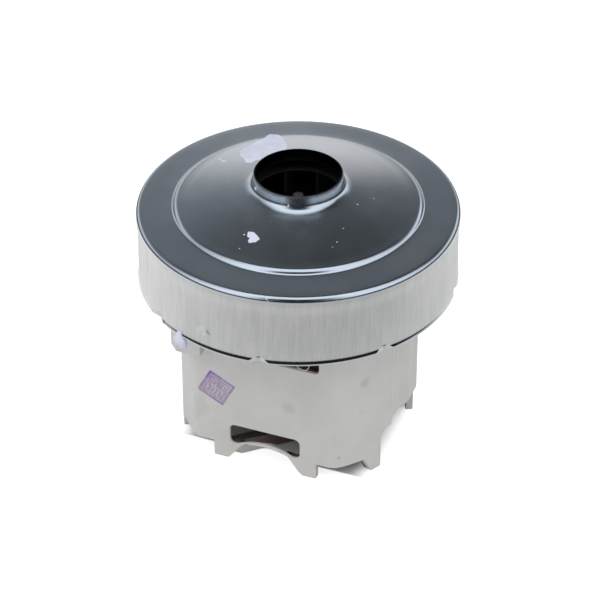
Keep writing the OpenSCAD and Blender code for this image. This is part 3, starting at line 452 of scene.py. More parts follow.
# %% Iron, windings and commutator
iron, look, place = new_finish("varnished_laminations", 0.35, 0.5)
z = axes(place)[2]
sheets = figure("FRACT", figure("DIVIDE", z, 0.0005))
seam = ramp(figure("ABSOLUTE", figure("SUBTRACT", sheets, 0.5)), 0.28, 0.48)
cloud = use_group(cloud_group, place, Scale=70.0)
tone = blend(cloud["Cloud"], (0.060, 0.026, 0.022), (0.105, 0.045, 0.036))
join(blend(seam, tone, (0.020, 0.010, 0.009)), look["Base Color"])
join(ramp(cloud["Grain"], 0.2, 0.8, 0.38, 0.60), look["Roughness"])
bumped(look, figure("SUBTRACT", 1.0, seam), 0.5, 0.00006)
finishes["laminations"] = iron

finishes["enamelled_wire"] = plain_finish("varnished_wire", (0.17, 0.050, 0.024), (0.30, 0.10, 0.045),
                                          0.55, 0.34, 240.0, 0.08)

copper, look, place = new_finish("turned_copper", 1.0, 0.3)
z = axes(place)[2]
cloud = use_group(cloud_group, place, Scale=110.0)
bright = blend(cloud["Cloud"], (0.60, 0.29, 0.17), (0.68, 0.36, 0.22))
track = times(ramp(z, 0.0235, 0.0245), ramp(z, 0.0345, 0.0335), 0.8)
join(blend(track, bright, (0.17, 0.085, 0.055)), look["Base Color"])
rings = noise(place, 900.0, 2.0)
join(ramp(rings, 0.2, 0.8, 0.22, 0.38), look["Roughness"])
bumped(look, rings, 0.2, 0.00002)
finishes["bar_copper"] = copper
print("directional finishes:", iron.name, copper.name)

# %% [markdown]
# Modelling in edit mode needs two habits: only the piece at hand is selected, and the faces or
# points that an operator should act on are picked by where they are. These helpers do both, and the
# small ones on top give short names to the operators that come up all the time.

# %% Helpers for modelling
def edit():
    bpy.ops.object.mode_set(mode="EDIT")


def leave_edit():
    bpy.ops.object.mode_set(mode="OBJECT")


def everything():
    bpy.ops.mesh.select_all(action="SELECT")


def freeze():
    """Work a piece's place, turn and scale into its mesh."""
    bpy.ops.object.transform_apply(location=True, rotation=True, scale=True)


def weld(distance):
    """Merge points closer than a distance in millimetres, and turn all faces outwards."""
    everything()
    bpy.ops.mesh.remove_doubles(threshold=distance * MM)
    bpy.ops.mesh.normals_make_consistent(inside=False)


def only(piece):
    bpy.ops.object.select_all(action="DESELECT")
    piece.select_set(True)
    bpy.context.view_layer.objects.active = piece


def pick(piece, kind, test):
    """In edit mode, select the points, edges or faces that pass the test."""
    bpy.ops.mesh.select_mode(type=kind)
    bpy.ops.mesh.select_all(action="DESELECT")
    mesh = bmesh.from_edit_mesh(piece.data)
    found = 0
    for item in {"VERT": mesh.verts, "EDGE": mesh.edges, "FACE": mesh.faces}[kind]:
        if test(item):
            item.select_set(True)
            found += 1
    mesh.select_flush_mode()
    bmesh.update_edit_mesh(piece.data)
    return found


def apply_modifier(piece, kind, **settings):
    only(piece)
    modifier = piece.modifiers.new(kind.lower(), kind)
    for key, value in settings.items():
        setattr(modifier, key, value)
    bpy.ops.object.modifier_apply(modifier=modifier.name)


def settle(piece, finish, body, angle=35):
    """Smooth shading, finish and body: the last step of every piece."""
    only(piece)
    bpy.ops.object.shade_smooth_by_angle(angle=radians(angle))
    piece.data.materials.clear()
    piece.data.materials.append(finish)
    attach(piece, body)
    print(piece.name, "faces:", len(piece.data.polygons))


print("modelling helpers ready")

# %% [markdown]
# Many pieces start as a line: the outline of the sheet, the edge of a torn label, the run of a wire.
# A line is drawn as by hand, by extruding one point from place to place. A wire is that line turned
# into a curve, given a round section, and turned back into a mesh.

# %% Helpers for lines and wires
def draw_line(name, points, closed=False):
    """A chain of edges through points in millimetres; it is left in edit mode with all selected."""
    bpy.ops.mesh.primitive_plane_add(size=0.002, location=[c * MM for c in points[0]])
    line = bpy.context.object
    line.name = name
    freeze()
    edit()
    bpy.ops.mesh.select_mode(type="VERT")
    everything()
    bpy.ops.mesh.merge(type="CENTER")
    for here, there in zip(points, points[1:] + points[:1] if closed else points[1:]):
        step = [(b - a) * MM for a, b in zip(here, there)]
        bpy.ops.mesh.extrude_vertices_move(TRANSFORM_OT_translate={"value": step})
    everything()
    bpy.ops.mesh.remove_doubles(threshold=0.000001)
    return line


def thicken(line, radius):
    """Turn a line into a round wire; the radius is in millimetres."""
    leave_edit()
    only(line)
    bpy.ops.object.convert(target="CURVE")
    line.data.bevel_depth = radius * MM
    line.data.bevel_resolution = 1
    line.data.use_fill_caps = True
    bpy.ops.object.convert(target="MESH")
    return line


def cut_at(axis, distance):
    """In edit mode, cut all faces by a plane square to X or Y."""
    everything()
    normal = (1 - axis, axis, 0)
    bpy.ops.mesh.bisect(plane_co=[c * distance * MM for c in normal], plane_no=normal)


def gather(name, pieces):
    """Join pieces into one."""
    bpy.ops.object.select_all(action="DESELECT")
    for piece in pieces:
        piece.select_set(True)
    bpy.context.view_layer.objects.active = pieces[0]
    if len(pieces) > 1:
        bpy.ops.object.join()
    pieces[0].name = name
    return pieces[0]


def flowing(points, steps=6):
    """A smooth path through a few points."""
    path = []
    ends = [points[0]] + list(points) + [points[-1]]
    for before, here, there, after in zip(ends, ends[1:], ends[2:], ends[3:]):
        for i in range(steps):
            t = i / steps
            path.append([0.5 * (2 * b + (c - a) * t + (2 * a - 5 * b + 4 * c - d) * t * t
                                + (3 * b - a - 3 * c + d) * t ** 3)
                         for a, b, c, d in zip(before, here, there, after)])
    return path + [list(points[-1])]


print("line helpers ready")

# %% [markdown]
# The shroud is one sheet, drawn into a cup in a press, so every section through the shaft is the
# same line. It is made as a lathe would make it: its outline is drawn from the collar's edge down to
# the lip, and the line is spun round the shaft. The outline is written in millimetres as straight
# runs and round corners, with more points where the corners are tight.

# %% Outline of the shroud
def corner(centre, radius, start, end, steps):
    turn = [radians(start + (end - start) * i / steps) for i in range(steps + 1)]
    return [(centre[0] + radius * cos(a), centre[1] + radius * sin(a)) for a in turn]


def run(start, end, steps):
    """Points between two ends, without the ends."""
    return [tuple(a + (b - a) * i / steps for a, b in zip(start, end)) for i in range(1, steps)]


def offset(point, radius, slope):
    """The point at a radius from a centre, straight above a surface that falls outwards by slope."""
    angle = radians(slope)
    return (point[0] + radius * sin(angle), point[1] + radius * cos(angle))


def drop(width, slope):
    """How far a surface falls over a width."""
    return width * tan(radians(slope))


RIM_R, RIM_Z, RIM_ROUND, RING_W, RING_SLOPE = 67.5, 110.1, 2.3, 12.2, 3.3
STEP_BEND, STEP_FOOT, STEP_SLOPE, CONE_SLOPE = 3.0, 1.6, 55, 12.45
EDGE_W, EDGE_SLOPE = 0.9, 8
COLLAR_R, COLLAR_H, FILLET, BLEND, BLEND_SLOPE = 18.6, 3.299, 3.2, 10.0, 30
BAND_R, SKIRT_R, LIP_R, LIP_Z = 67.0, 67.2, 67.699, 77.2
rim_c = (RIM_R - RIM_ROUND, RIM_Z - RIM_ROUND)
rim_top = offset(rim_c, RIM_ROUND, RING_SLOPE)
step_r = rim_c[0] - RING_W
step_low = (step_r, rim_top[1] + drop(rim_top[0] - step_r, RING_SLOPE))
foot_c = offset(step_low, STEP_FOOT, RING_SLOPE)
bend_c = offset(foot_c, -STEP_BEND - STEP_FOOT, STEP_SLOPE)
cone_edge = offset(bend_c, STEP_BEND, CONE_SLOPE)
blend_r = COLLAR_R + FILLET + (BLEND - FILLET) * sin(radians(BLEND_SLOPE))
cone_top_r = blend_r - BLEND * sin(radians(CONE_SLOPE))
cone_top = (cone_top_r, cone_edge[1] + drop(cone_edge[0] - cone_top_r, CONE_SLOPE))
blend_c = offset(cone_top, BLEND, CONE_SLOPE)
fillet_c = offset(blend_c, FILLET - BLEND, BLEND_SLOPE)
collar_top = fillet_c[1] + COLLAR_H
outline = [(COLLAR_R, collar_top), (COLLAR_R, collar_top - 1.1), (COLLAR_R, collar_top - 2.2)]
outline += corner(fillet_c, FILLET, 180, 270 - BLEND_SLOPE, 9)
outline += corner(blend_c, BLEND, 270 - BLEND_SLOPE, 270 - CONE_SLOPE, 6)[1:]
bend_start = offset(bend_c, STEP_BEND, EDGE_SLOPE)
edge_start = (bend_start[0] - EDGE_W, bend_start[1] + drop(EDGE_W, EDGE_SLOPE))
cone_end_r = edge_start[0] - 3.0
cone_end = (cone_end_r, cone_edge[1] + drop(cone_edge[0] - cone_end_r, CONE_SLOPE))
outline += run(cone_top, cone_end, 8) + [cone_end, edge_start]
outline += corner(bend_c, STEP_BEND, 90 - EDGE_SLOPE, 90 - STEP_SLOPE, 10)
outline += corner(foot_c, STEP_FOOT, 270 - STEP_SLOPE, 270 - RING_SLOPE, 8)[1:]
outline += run(step_low, rim_top, 4)
outline += corner(rim_c, RIM_ROUND, 90 - RING_SLOPE, 0, 12)
outline += [(RIM_R, 106.4), (RIM_R - 0.06, 105.4), (RIM_R - 0.25, 103.9), (BAND_R + 0.06, 102.4),
            (BAND_R, 101.2), (BAND_R, 98.0), (BAND_R + 0.05, 94.0), (SKIRT_R - 0.05, 88.0), (SKIRT_R, 83.0),
            (SKIRT_R, 82.2), (SKIRT_R, 81.2), (SKIRT_R, 80.6), (SKIRT_R, 80.0), (SKIRT_R, 79.6),
            (SKIRT_R, 79.35), (SKIRT_R + 0.03, 79.1), (SKIRT_R + 0.24, 78.52), (LIP_R - 0.03, 77.9),
            (LIP_R, 77.7), (LIP_R, LIP_Z)]
print("outline points:", len(outline), "top at", round(collar_top, 2))

# %% Spin the outline
shroud = draw_line("shroud_sheet", [(r, 0, z) for r, z in outline])
bpy.ops.mesh.spin(steps=360, angle=2 * pi, center=(0, 0, 0), axis=(0, 0, 1))
weld(0.005)
print("shroud faces:", len(bmesh.from_edit_mesh(shroud.data).faces))

# %% [markdown]
# Eight crimps hold the shroud on the housing: a punch shears a short line in the band under the
# flange and pushes the sheet below it inwards, lip and all. The punch leaves a small slanted wedge
# right under the cut and a groove from there to the lip. Each patch is cut finer first. How deep every
# point goes is kept as a weight, and a Displace modifier pushes all of them at once.

# %% Crimps
CRIMPS = [radians(7.6 + 45 * i) for i in range(8)]
SHEAR_Z, SHEAR_HALF, WEDGE_H, WEDGE_DEPTH = 80.42, 1.5, 1.25, 1.0
GROOVE_TOP, GROOVE_LIP, GROOVE_HALF, CRIMP_DEPTH = 0.45, 1.7, 4.6, 1.7
PATCH_TOP, PATCH_HALF, POINT_HALF = 81.2, 5.0, 0.7


def across(point):
    """Distance to the nearest crimp's middle, measured round the band in millimetres."""
    turn = atan2(point.y, point.x)
    return min((remainder(turn - a, 2 * pi) * SKIRT_R for a in CRIMPS), key=abs)


def crimp_weight(point):
    """How deep a crimp presses a point, as a part of its full depth."""
    u, below = abs(across(point)), SHEAR_Z - point.z / MM
    if below < 0:
        return 0.0
    t = below / (SHEAR_Z - LIP_Z)
    half = POINT_HALF + (GROOVE_HALF - POINT_HALF) * t
    groove = (GROOVE_TOP + (GROOVE_LIP - GROOVE_TOP) * t) * max(0.0, 1 - u / half)
    wedge = WEDGE_DEPTH * max(0.0, 1 - below / WEDGE_H) * min(1.0, max(0.0, (SHEAR_HALF - u) / 0.6))
    return min(1.0, (groove + wedge) / CRIMP_DEPTH)


def by_crimp(face):
    centre = face.calc_center_median()
    return centre.z < PATCH_TOP * MM and abs(across(centre)) < PATCH_HALF


pick(shroud, "FACE", by_crimp)
bpy.ops.mesh.subdivide(number_cuts=3)
leave_edit()
pressed = shroud.vertex_groups.new(name="pressed")
for vertex in shroud.data.vertices:
    if vertex.co.z < PATCH_TOP * MM:
        pressed.add([vertex.index], crimp_weight(vertex.co), "REPLACE")
apply_modifier(shroud, "DISPLACE", strength=-CRIMP_DEPTH * MM, mid_level=0.0, vertex_group="pressed")
print("crimps pressed:", len(CRIMPS))

# %% [markdown]
# The line becomes a sheet 0.8 mm thick by thickening it inwards, away from the outer face that was
# measured. The cut edges at the collar and the lip get a small round, because a press leaves them
# rolled over and they catch the light.

# %% Sheet thickness
SHEET, ROLL = 0.8, 0.16
apply_modifier(shroud, "SOLIDIFY", thickness=SHEET * MM, offset=-1.0, use_even_offset=False)
edit()


def cut_edge(edge):
    """True for an edge where the sheet was cut off, at the collar or at the lip."""
    at_end = all(v.co.z > (collar_top - 0.05) * MM or v.co.z < (LIP_Z + 0.05) * MM for v in edge.verts)
    return at_end and len(edge.link_faces) == 2 and edge.calc_face_angle(0) > 1.0


cut_edges = pick(shroud, "EDGE", cut_edge)
bpy.ops.mesh.bevel(offset=ROLL * MM, segments=2, affect="EDGES")
leave_edit()
print("rolled edges:", cut_edges)
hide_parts("fan_shroud")
settle(shroud, zinc, "stationary", 40)

# %% [markdown]
# The housing is a thick moulding whose edges are all a little round, because sharp edges chip and
# stick in the mould. Its solid already has the right shape, so a copy of it is welded together and
# its flat faces are cleaned of stray lines. The four upright corners beside the flats are rounded
# widely, the mouth of each lower slot a little, and every other edge gets a small round, apart from
# those of the thin bar under each slot. Rounds that dip below the feet are set back on the floor.

# %% Housing
FLAT_Y, CORNER_X = 39.65, 31.27
SLOT_HALF, SLOT_LOW, SLOT_HIGH = 16.2, 8.3, 18.5
BAR_HALF, BAR_BACK, BAR_HIGH = 17, 36, 12.5
MOUTH_ROUND, CORNER_ROUND, EDGE_ROUND = 0.7, 1.65, 0.4
housing = bpy.data.objects.new("housing_moulding", nodes["motor_housing"].data.copy())
bpy.context.scene.collection.objects.link(housing)
only(housing)
edit()
everything()
bpy.ops.mesh.remove_doubles(threshold=0.00002)
bpy.ops.mesh.dissolve_limited(angle_limit=radians(0.8))


def on_flat(vertex):
    return abs(abs(vertex.co.y) / MM - FLAT_Y) < 0.05


def slot_mouth(edge):
    """True for an edge of a lower slot on the outer face."""
    sharp = len(edge.link_faces) == 2 and edge.calc_face_angle(0) > 0.7
    return sharp and all(on_flat(v) and abs(v.co.x) < SLOT_HALF * MM
                         and SLOT_LOW * MM < v.co.z < SLOT_HIGH * MM for v in edge.verts)


def upright_corner(edge):
    return all(on_flat(v) and abs(abs(v.co.x) / MM - CORNER_X) < 0.3 for v in edge.verts)


def small_round(edge):
    """True for any sharp edge, apart from those of the thin bar under each slot."""
    sharp = len(edge.link_faces) == 2 and edge.calc_face_angle(0) > radians(38)
    on_bar = all(abs(v.co.x) < BAR_HALF * MM and abs(v.co.y) > BAR_BACK * MM
                 and v.co.z < BAR_HIGH * MM for v in edge.verts)
    return sharp and not on_bar


mouths = pick(housing, "EDGE", slot_mouth)
bpy.ops.mesh.bevel(offset=MOUTH_ROUND * MM, segments=4, affect="EDGES")
corners = pick(housing, "EDGE", upright_corner)
bpy.ops.mesh.bevel(offset=CORNER_ROUND * MM, segments=5, affect="EDGES")
rounds = pick(housing, "EDGE", small_round)
bpy.ops.mesh.bevel(offset=EDGE_ROUND * MM, segments=2, affect="EDGES", clamp_overlap=False)
print("slot edges:", mouths, "corner edges:", corners, "other edges:", rounds)
below_floor = pick(housing, "VERT", lambda v: v.co.z < 0)
if below_floor:
    bpy.ops.transform.resize(value=(1, 1, 0), center_override=(0, 0, 0))
leave_edit()
print("points set back on the floor:", below_floor)
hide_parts("motor_housing")
settle(housing, moulding, "stationary", 35)
apply_modifier(housing, "WEIGHTED_NORMAL", keep_sharp=True)

# %% [markdown]
# On both sides of each brush boss the slides of the mould meet and leave a fine upright seam. It is a
# thin round bead, half sunk in the wall, from the boss's foot to the flange.

# %% Mould seams
WALL_R, SEAM_Y, SEAM_R = 50.5, 15.0, 0.28
seam_x = sqrt(WALL_R ** 2 - SEAM_Y ** 2)
beads = [thicken(draw_line("seam", [(a * seam_x, b * SEAM_Y, z) for z in (23.7, 42.0, 60.0, 80.0)]), SEAM_R)
         for a in (-1, 1) for b in (-1, 1)]
seams = gather("mould_seams", beads)
# Painted highlight: the bead takes the lighter white vane finish, not the housing's own, so the seam shows as
# a light line.
settle(seams, finishes["white_moulding"], "stationary", 60)

# %% [markdown]
# The brush springs are small compression springs. A circle of wire is placed beside the spring's
# axis and the Screw modifier turns it into a coil. When a brush wears or is pushed back, the spring
# shortens towards the terminal that it leans on; each coil here is made at the full length of its box along
# X.

# %% Brush springs
SPRING_R, SPRING_WIRE, SPRING_TURNS = 2.25, 0.35, 6
for side, label in ((-1, "left"), (1, "right")):
    low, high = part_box("brush_spring_" + label)
    bpy.ops.mesh.primitive_circle_add(vertices=10, radius=SPRING_WIRE * MM, location=(0, 0, SPRING_R * MM),
                                      rotation=(pi / 2, 0, 0))
    spring = bpy.context.object
    spring.name = "brush_coil_spring_" + label
    freeze()
    pitch = (high[0] - low[0] - 2 * SPRING_WIRE * MM) / SPRING_TURNS
    apply_modifier(spring, "SCREW", axis="X", angle=2 * pi, iterations=SPRING_TURNS, screw_offset=pitch,
                   steps=20, render_steps=20, use_merge_vertices=False)
    spring.location = (low[0] + SPRING_WIRE * MM, 0, (low[2] + high[2]) / 2)
    freeze()
    edit()
    pick(spring, "EDGE", lambda e: len(e.link_faces) == 1)
    bpy.ops.mesh.fill()
    everything()
    bpy.ops.mesh.normals_make_consistent(inside=False)
    leave_edit()
    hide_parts("brush_spring_" + label)
    settle(spring, finishes["screw_steel"], "stationary")
    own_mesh(spring)

# %% [markdown]
# A field coil is wound flat on a former, tied, pressed round its pole and dipped in varnish. Only the
# outside turns can be seen, so the coil is made of rounded loops of wire: full layers at the inner and
# outer side, and the two end turns of every layer between. One loop is a plane with its corners
# rounded and its face removed, repeated along the pole by an Array modifier.

# %% Field coils
WIRE_R, LOOP_ROUND, LAYERS, COLUMNS = 0.5, 3.5, 8, 9


def wire_loop(x, half_y, half_z, middle_z, copies, pitch):
    bpy.ops.mesh.primitive_plane_add(size=1, location=(x * MM, 0, middle_z * MM), rotation=(0, pi / 2, 0))
    loop = bpy.context.object
    loop.scale = (2 * half_z * MM, 2 * half_y * MM, 1)
    freeze()
    edit()
    everything()
    bpy.ops.mesh.delete(type="ONLY_FACE")
    everything()
    bpy.ops.mesh.bevel(offset=LOOP_ROUND * MM, segments=6, affect="VERTICES")
    leave_edit()
    apply_modifier(loop, "ARRAY", count=copies, use_relative_offset=False, use_constant_offset=True,
                   constant_offset_displace=(pitch * MM, 0, 0))
    return thicken(loop, WIRE_R)


for label in ("left", "right"):
    low, high = [[c / MM for c in corner_point] for corner_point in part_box("field_coil_" + label)]
    first, last = low[0] + WIRE_R, high[0] - WIRE_R
    loops = []
    for k in range(LAYERS):
        out = 1 - (k + 0.5) / LAYERS
        half_y, half_z = high[1] - 8.0 * out, (high[2] - low[2]) / 2 - 5.4 * out
        count = COLUMNS if k in (0, LAYERS - 1) else 2
        loops.append(wire_loop(first, half_y, half_z, (low[2] + high[2]) / 2, count,
                               (last - first) / (count - 1)))
    coil = gather("field_winding_" + label, loops)
    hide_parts("field_coil_" + label)
    settle(coil, finishes["enamelled_wire"], "stationary", 60)

# %% [markdown]
# The armature's coils lie in pairs of slots five apart. At each end the wires cross over from one slot
# to the other in a bow round the shaft, and all the bows together make the thick ring of end turns.
# One coil of four strands is drawn, with two hooks that join it to the commutator, and Spin with
# copies places it in all twelve slots.

# %% Armature winding
ARM_WIRE, HOOK_WIRE, SLOTS, SPAN = 0.7, 0.4, 12, 5
MIDDLE_Z, DISC_OUT = 56.5, 12.6


def bow(radius, rise, way):
    """One end of a strand, from its first slot to its second, in millimetres."""
    points = []
    for i in range(11):
        t = i / 10
        angle = radians(360 / SLOTS * SPAN * t) + (2 * t - 1) * 0.85 / radius
        r = radius * (1 - 0.30 * sin(pi * t))
        z = MIDDLE_Z + way * (DISC_OUT + ARM_WIRE + rise * sin(pi * t) ** 0.6)
        points.append((r * cos(angle), r * sin(angle), z))
    return points


strands = []
for k in range(4):
    radius, rise = 13.2 + 2.1 * k, 0.3 + 0.95 * k
    loop = bow(radius, rise, 1) + bow(radius, rise, -1)[::-1]
    strands.append(thicken(draw_line("strand", loop, closed=True), ARM_WIRE))
for step in (0, 1):
    hook = radians(15 * step)
    ends = [(r * cos(hook), r * sin(hook), z) for r, z in ((13.0, 36.8), (13.8, 38.4), (14.6, 41.0))]
    strands.append(thicken(draw_line("hook", ends), HOOK_WIRE))
winding = gather("armature_coils", strands)
edit()
everything()
bpy.ops.mesh.spin(steps=SLOTS, angle=2 * pi, center=(0, 0, 0), axis=(0, 0, 1), dupli=True)
weld(0.005)
leave_edit()
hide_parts("armature_winding")
settle(winding, finishes["enamelled_wire"], "rotor", 60)

# %% [markdown]
# Short leads join the coils to the brush terminals, and two longer ones run to the flat blades at the
# back. Each is bare wire in a thin sleeve that stops a little before its ends.

# %% Leads
LEAD_R, SLEEVE_R = 0.45, 0.85


def sleeved(points):
    wire = thicken(draw_line("lead_wire", points), LEAD_R)
    return [wire, thicken(draw_line("lead_sleeve", points[2:-2]), SLEEVE_R)]


brush_runs = [[(side * x, 0, 41.5 + 0.04 * (x - 36) * (44 - x) - 0.32) for x in range(36, 45)]
              for side in (-1, 1)]
supply_run = ((31.5, 19.3, 41.5), (31.5, 23.3, 41.5), (19.25, 28.95, 34.9), (7.9, 32.95, 32.3),
              (7, 32.95, 30.3), (7, 32.95, 28.3))
supply_runs = [flowing([(side * x, y, z) for x, y, z in supply_run]) for side in (-1, 1)]
for node, runs in (("brush_leads", brush_runs), ("supply_leads", supply_runs)):
    lead = gather("sleeved_" + node, [piece for points in runs for piece in sleeved(points)])
    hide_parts(node)
    settle(lead, finishes["lead_sleeve"], "stationary", 60)

# %% [markdown]
# Cotton twine lashes the field coils. One loose end has dropped through the front window and rests on
# its sill. It follows a few given points, smoothed into one path.

# %% Twine
TWINE_R = 0.24
twine_finish = plain_finish("cotton_twine", (0.62, 0.60, 0.55), (0.74, 0.72, 0.68),
                            0.0, 0.8, 400.0, 0.1, 0.0001)
twine_run = ((20.5, -34.2, 69.2), (20.3, -36.5, 68.9), (20.0, -36.8, 63.0), (19.7, -37.4, 58.6),
             (19.2, -38.8, 56.9), (18.2, -39.2, 56.4), (16.6, -39.0, 56.4), (14.8, -38.4, 56.5),
             (13.2, -37.0, 57.4), (12.4, -36.7, 60.5))
twine = thicken(draw_line("window_twine", flowing(twine_run)), TWINE_R)
settle(twine, twine_finish, "stationary", 60)

# %% [markdown]
# An inspector's rubber stamp has left a square of purple ink on the front. Ink has hardly any
# thickness. One plane becomes the thin wash that the whole stamp leaves. A second one is inset into a
# frame and an inner line, its gaps are deleted, and two rows of plain blocks stay in the middle. Uneven
# pressure is in the finish: one corner was pressed hard, and elsewhere the moulding shows through.

# %% Inspection stamp
STAMP_AT, STAMP_SIZE, STAMP_TURN = (-21.7, 36.5), 13.0, 27.6
FRAME_W, GAP_W, LINE_W, BAR_W, ROW_GAP = 1.15, 0.75, 0.4, 0.85, 0.45


def ink_finish(name, dark, light, thin, full, pressed_corner):
    material, look, place = new_finish(name, 0.0, 0.6)
    press = use_group(cloud_group, place, Scale=260.0)
    hard = spot_mask(place, (-24.8, -FLAT_Y, 44.6), 8.5, 1.0)
    depth = figure("MAXIMUM", times(press["Cloud"], 0.4), hard)
    join(blend(depth, light, dark), look["Base Color"])
    cover = figure("ADD", ramp(press["Cloud"], 0.0, 1.0, thin, full),
                   times(hard, pressed_corner), clamp=True)
    join(cover, look["Alpha"])
    return material


def ink_square(name, size, insets, bare, thickness, finish):
    """A square of ink on the front, inset by some widths, without the faces that stay bare."""
    bpy.ops.mesh.primitive_plane_add(size=size * MM)
    square = bpy.context.object
    square.name = name
    edit()
    everything()
    for width in insets:
        bpy.ops.mesh.inset(thickness=width * MM)
    for i in range(-4, 5):
        cut_at(0, (i + 0.5) * BAR_W)
    for row_edge in (-ROW_GAP, ROW_GAP):
        cut_at(1, row_edge)
    pick(square, "FACE", bare)
    bpy.ops.mesh.delete(type="FACE")
    leave_edit()
    apply_modifier(square, "SOLIDIFY", thickness=thickness * MM, offset=1.0)
    square.rotation_euler = (pi / 2, radians(STAMP_TURN), 0)
    square.location = (STAMP_AT[0] * MM, -FLAT_Y * MM, STAMP_AT[1] * MM)
    freeze()
    settle(square, finish, "stationary")


def bare_moulding(face):
    """True where the stamp leaves no full ink: the two gaps, and between the blocks in the middle."""
    centre = face.calc_center_median() / MM
    edge = 0.5 * STAMP_SIZE - max(abs(centre.x), abs(centre.y))
    middle = FRAME_W + 2 * GAP_W + LINE_W
    if edge > middle:
        return abs(centre.y) < ROW_GAP or (round(centre.x / BAR_W) + (centre.y > 0)) % 2 == 0
    return FRAME_W < edge < FRAME_W + GAP_W or edge > middle - GAP_W


ink_square("stamp_wash", STAMP_SIZE - 0.6, [1.0], lambda face: False, 0.015,
           ink_finish("purple_wash", (0.86, 0.73, 0.93), (0.94, 0.85, 0.97), 0.30, 0.46, 0.0))
ink_square("inspection_stamp", STAMP_SIZE, [FRAME_W, GAP_W, LINE_W, GAP_W], bare_moulding, 0.03,
           ink_finish("purple_ink", (0.36, 0.17, 0.64), (0.62, 0.45, 0.80), 0.24, 0.52, 0.50))

# %% [markdown]
# Labels have been pulled off and left lilac paper behind: a long torn strip on the cone, a scrap like
# an arrow in front, small chips, and two flecks on the collar. Each outline is drawn a little above the
# sheet, filled, cut into small fields with Bisect, and dropped by a Shrinkwrap modifier on a former, a
# plain cone that follows the sheet and runs on past its edge, because the stiff strip sticks out a
# little over the step.

# %% Paper remains
paper_finish = plain_finish("lilac_paper", (0.66, 0.69, 0.83), (0.75, 0.78, 0.90),
                            0.0, 0.62, 160.0, 0.12, 0.00012)


def torn(points, step=1.1, jitter=0.22):
    """A closed outline with more points, moved a little in and out as in torn paper."""
    edge = []
    for (x0, y0), (x1, y1) in zip(points, points[1:] + points[:1]):
        length = hypot(x1 - x0, y1 - y0)
        count = max(1, int(length / step))
        for i in range(count):
            wave = sin(12.9 * (len(edge) + 1) + 4.1 * x0) + sin(7.3 * len(edge) + y0)
            push = 0.5 * jitter * wave if i else 0.0
            edge.append((x0 + (x1 - x0) * i / count + push * (y1 - y0) / length,
                         y0 + (y1 - y0) * i / count - push * (x1 - x0) / length))
    return edge


former = draw_line("paper_former", [(r, 0, cone_top[1] - drop(r - cone_top[0], CONE_SLOPE))
                                    for r in (18, 30, 42, 57)])
bpy.ops.mesh.spin(steps=96, angle=2 * pi, center=(0, 0, 0), axis=(0, 0, 1))
leave_edit()


def paper_scrap(points, thickness=0.12, cut=2.5):
    scrap = draw_line("scrap", [(x, y, 130.0) for x, y in torn(points)], closed=True)
    bpy.ops.mesh.edge_face_add()
    xs, ys = [p[0] for p in points], [p[1] for p in points]
    for axis, low, high in ((0, min(xs), max(xs)), (1, min(ys), max(ys))):
        for i in range(1, int((high - low) / cut) + 1):
            cut_at(axis, low + cut * i)
    everything()
    bpy.ops.mesh.normals_make_consistent(inside=False)
    leave_edit()
    apply_modifier(scrap, "SHRINKWRAP", target=former, wrap_method="PROJECT", use_project_z=True,
                   use_negative_direction=True, use_positive_direction=False, offset=0.00002)
    apply_modifier(scrap, "SOLIDIFY", thickness=thickness * MM, offset=1.0)
    return scrap


def chip(x, y, size):
    return [(x + a * size, y + b * size) for a, b in ((-1, 0), (-0.2, -0.8), (1, 0.1), (0.3, 1))]


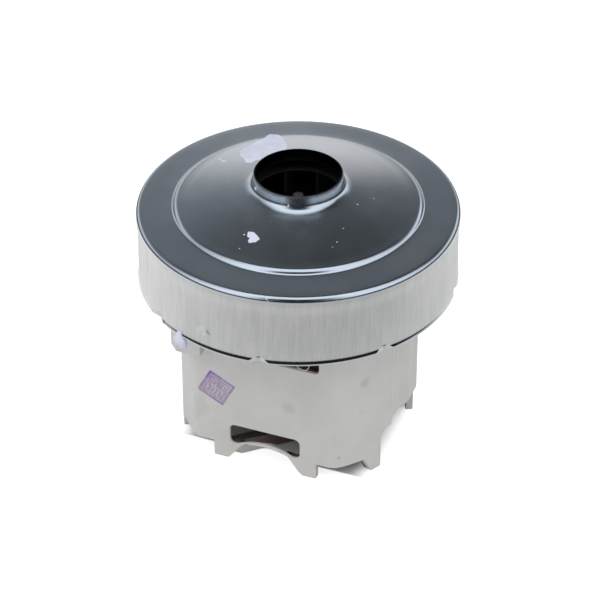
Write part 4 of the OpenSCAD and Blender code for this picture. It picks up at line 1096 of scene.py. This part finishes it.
strip = [(-35.7, 23.1), (-33.2, 17.7), (-30.7, 15.1), (-27.8, 11.4), (-25.3, 11.8), (-24.7, 14.3),
         (-22.6, 14.5), (-21.4, 17.9), (-19.8, 21.5), (-18.1, 24.6), (-16.0, 26.7), (-19.1, 35.7),
         (-22.7, 40.9), (-26.0, 43.9), (-30.1, 43.9), (-30.8, 41.5), (-30.9, 37.6), (-32.6, 34.6),
         (-34.1, 28.2)]
arrow = [(-8.4, -34.3), (-5.7, -34.1), (-3.9, -35.4), (-2.2, -36.9), (-3.2, -38.9), (-5.7, -40.1),
         (-6.6, -38.7), (-6.2, -37.5), (-7.8, -36.8)]
chips = ((-41.4, 14.8, 0.9), (-39.2, 13.0, 1.1), (-37.4, 12.2, 0.5), (-9.4, -36.1, 0.45), (26.8, -2.0, 0.4),
         (27.3, -27.1, 0.35), (-8.3, -43.8, 0.3), (31.0, 6.0, 0.25), (26.9, -18.7, 0.3), (26.7, -30.4, 0.22))
scraps = [paper_scrap(points) for points in [strip, arrow] + [chip(*place_at) for place_at in chips]]
for (x, y, z), size in (((-13.7, -12.7, 122.4), 0.8), ((2.9, -18.4, 121.4), 0.6)):
    bpy.ops.mesh.primitive_ico_sphere_add(subdivisions=2, radius=size * MM, location=(x * MM, y * MM, z * MM))
    fleck = bpy.context.object
    fleck.scale = (0.7, 0.6, 1.25)
    freeze()
    scraps.append(fleck)
bpy.data.objects.remove(former)
remains = gather("paper_remains", scraps)
settle(remains, paper_finish, "stationary")

# %% [markdown]
# At the lower left a lump of lilac glue hangs on the lip. It starts as a ball, is stretched
# along the band, flattened against it, and pinched where it passes the lip.

# %% Glue lump
GLUE_TURN, GLUE_R, GLUE_Z = radians(-114.6), 67.2, 75.0
bpy.ops.mesh.primitive_ico_sphere_add(subdivisions=4, radius=1 * MM)
glue = bpy.context.object
glue.name = "glue_lump"
edit()
everything()
bpy.ops.transform.resize(value=(2.3, 3.5, 4.4))
pick(glue, "VERT", lambda v: v.co.z > 0.0012)
bpy.ops.transform.resize(value=(0.75, 0.72, 1.0))
pick(glue, "VERT", lambda v: v.co.z < -0.002)
bpy.ops.transform.translate(value=(-0.0006, 0.0004, 0))
leave_edit()
apply_modifier(glue, "SMOOTH", factor=0.5, iterations=6)
glue.rotation_euler = (0, 0, GLUE_TURN)
glue.location = (GLUE_R * MM * cos(GLUE_TURN), GLUE_R * MM * sin(GLUE_TURN), GLUE_Z * MM)
freeze()
settle(glue, paper_finish, "stationary", 60)

# %% [markdown]
# Each node gets the finish of its record slot. Those that a dressed piece stands in for don't show.

# %% Finishes for the nodes
for part in frame["record"]["subparts"]:
    piece = nodes[part["node"]]
    piece.data.materials.clear()
    piece.data.materials.append(finishes[part["material_slot"]])

# %% [markdown]
# Last, a line of output marks the end.

# %% End
print("scene done")
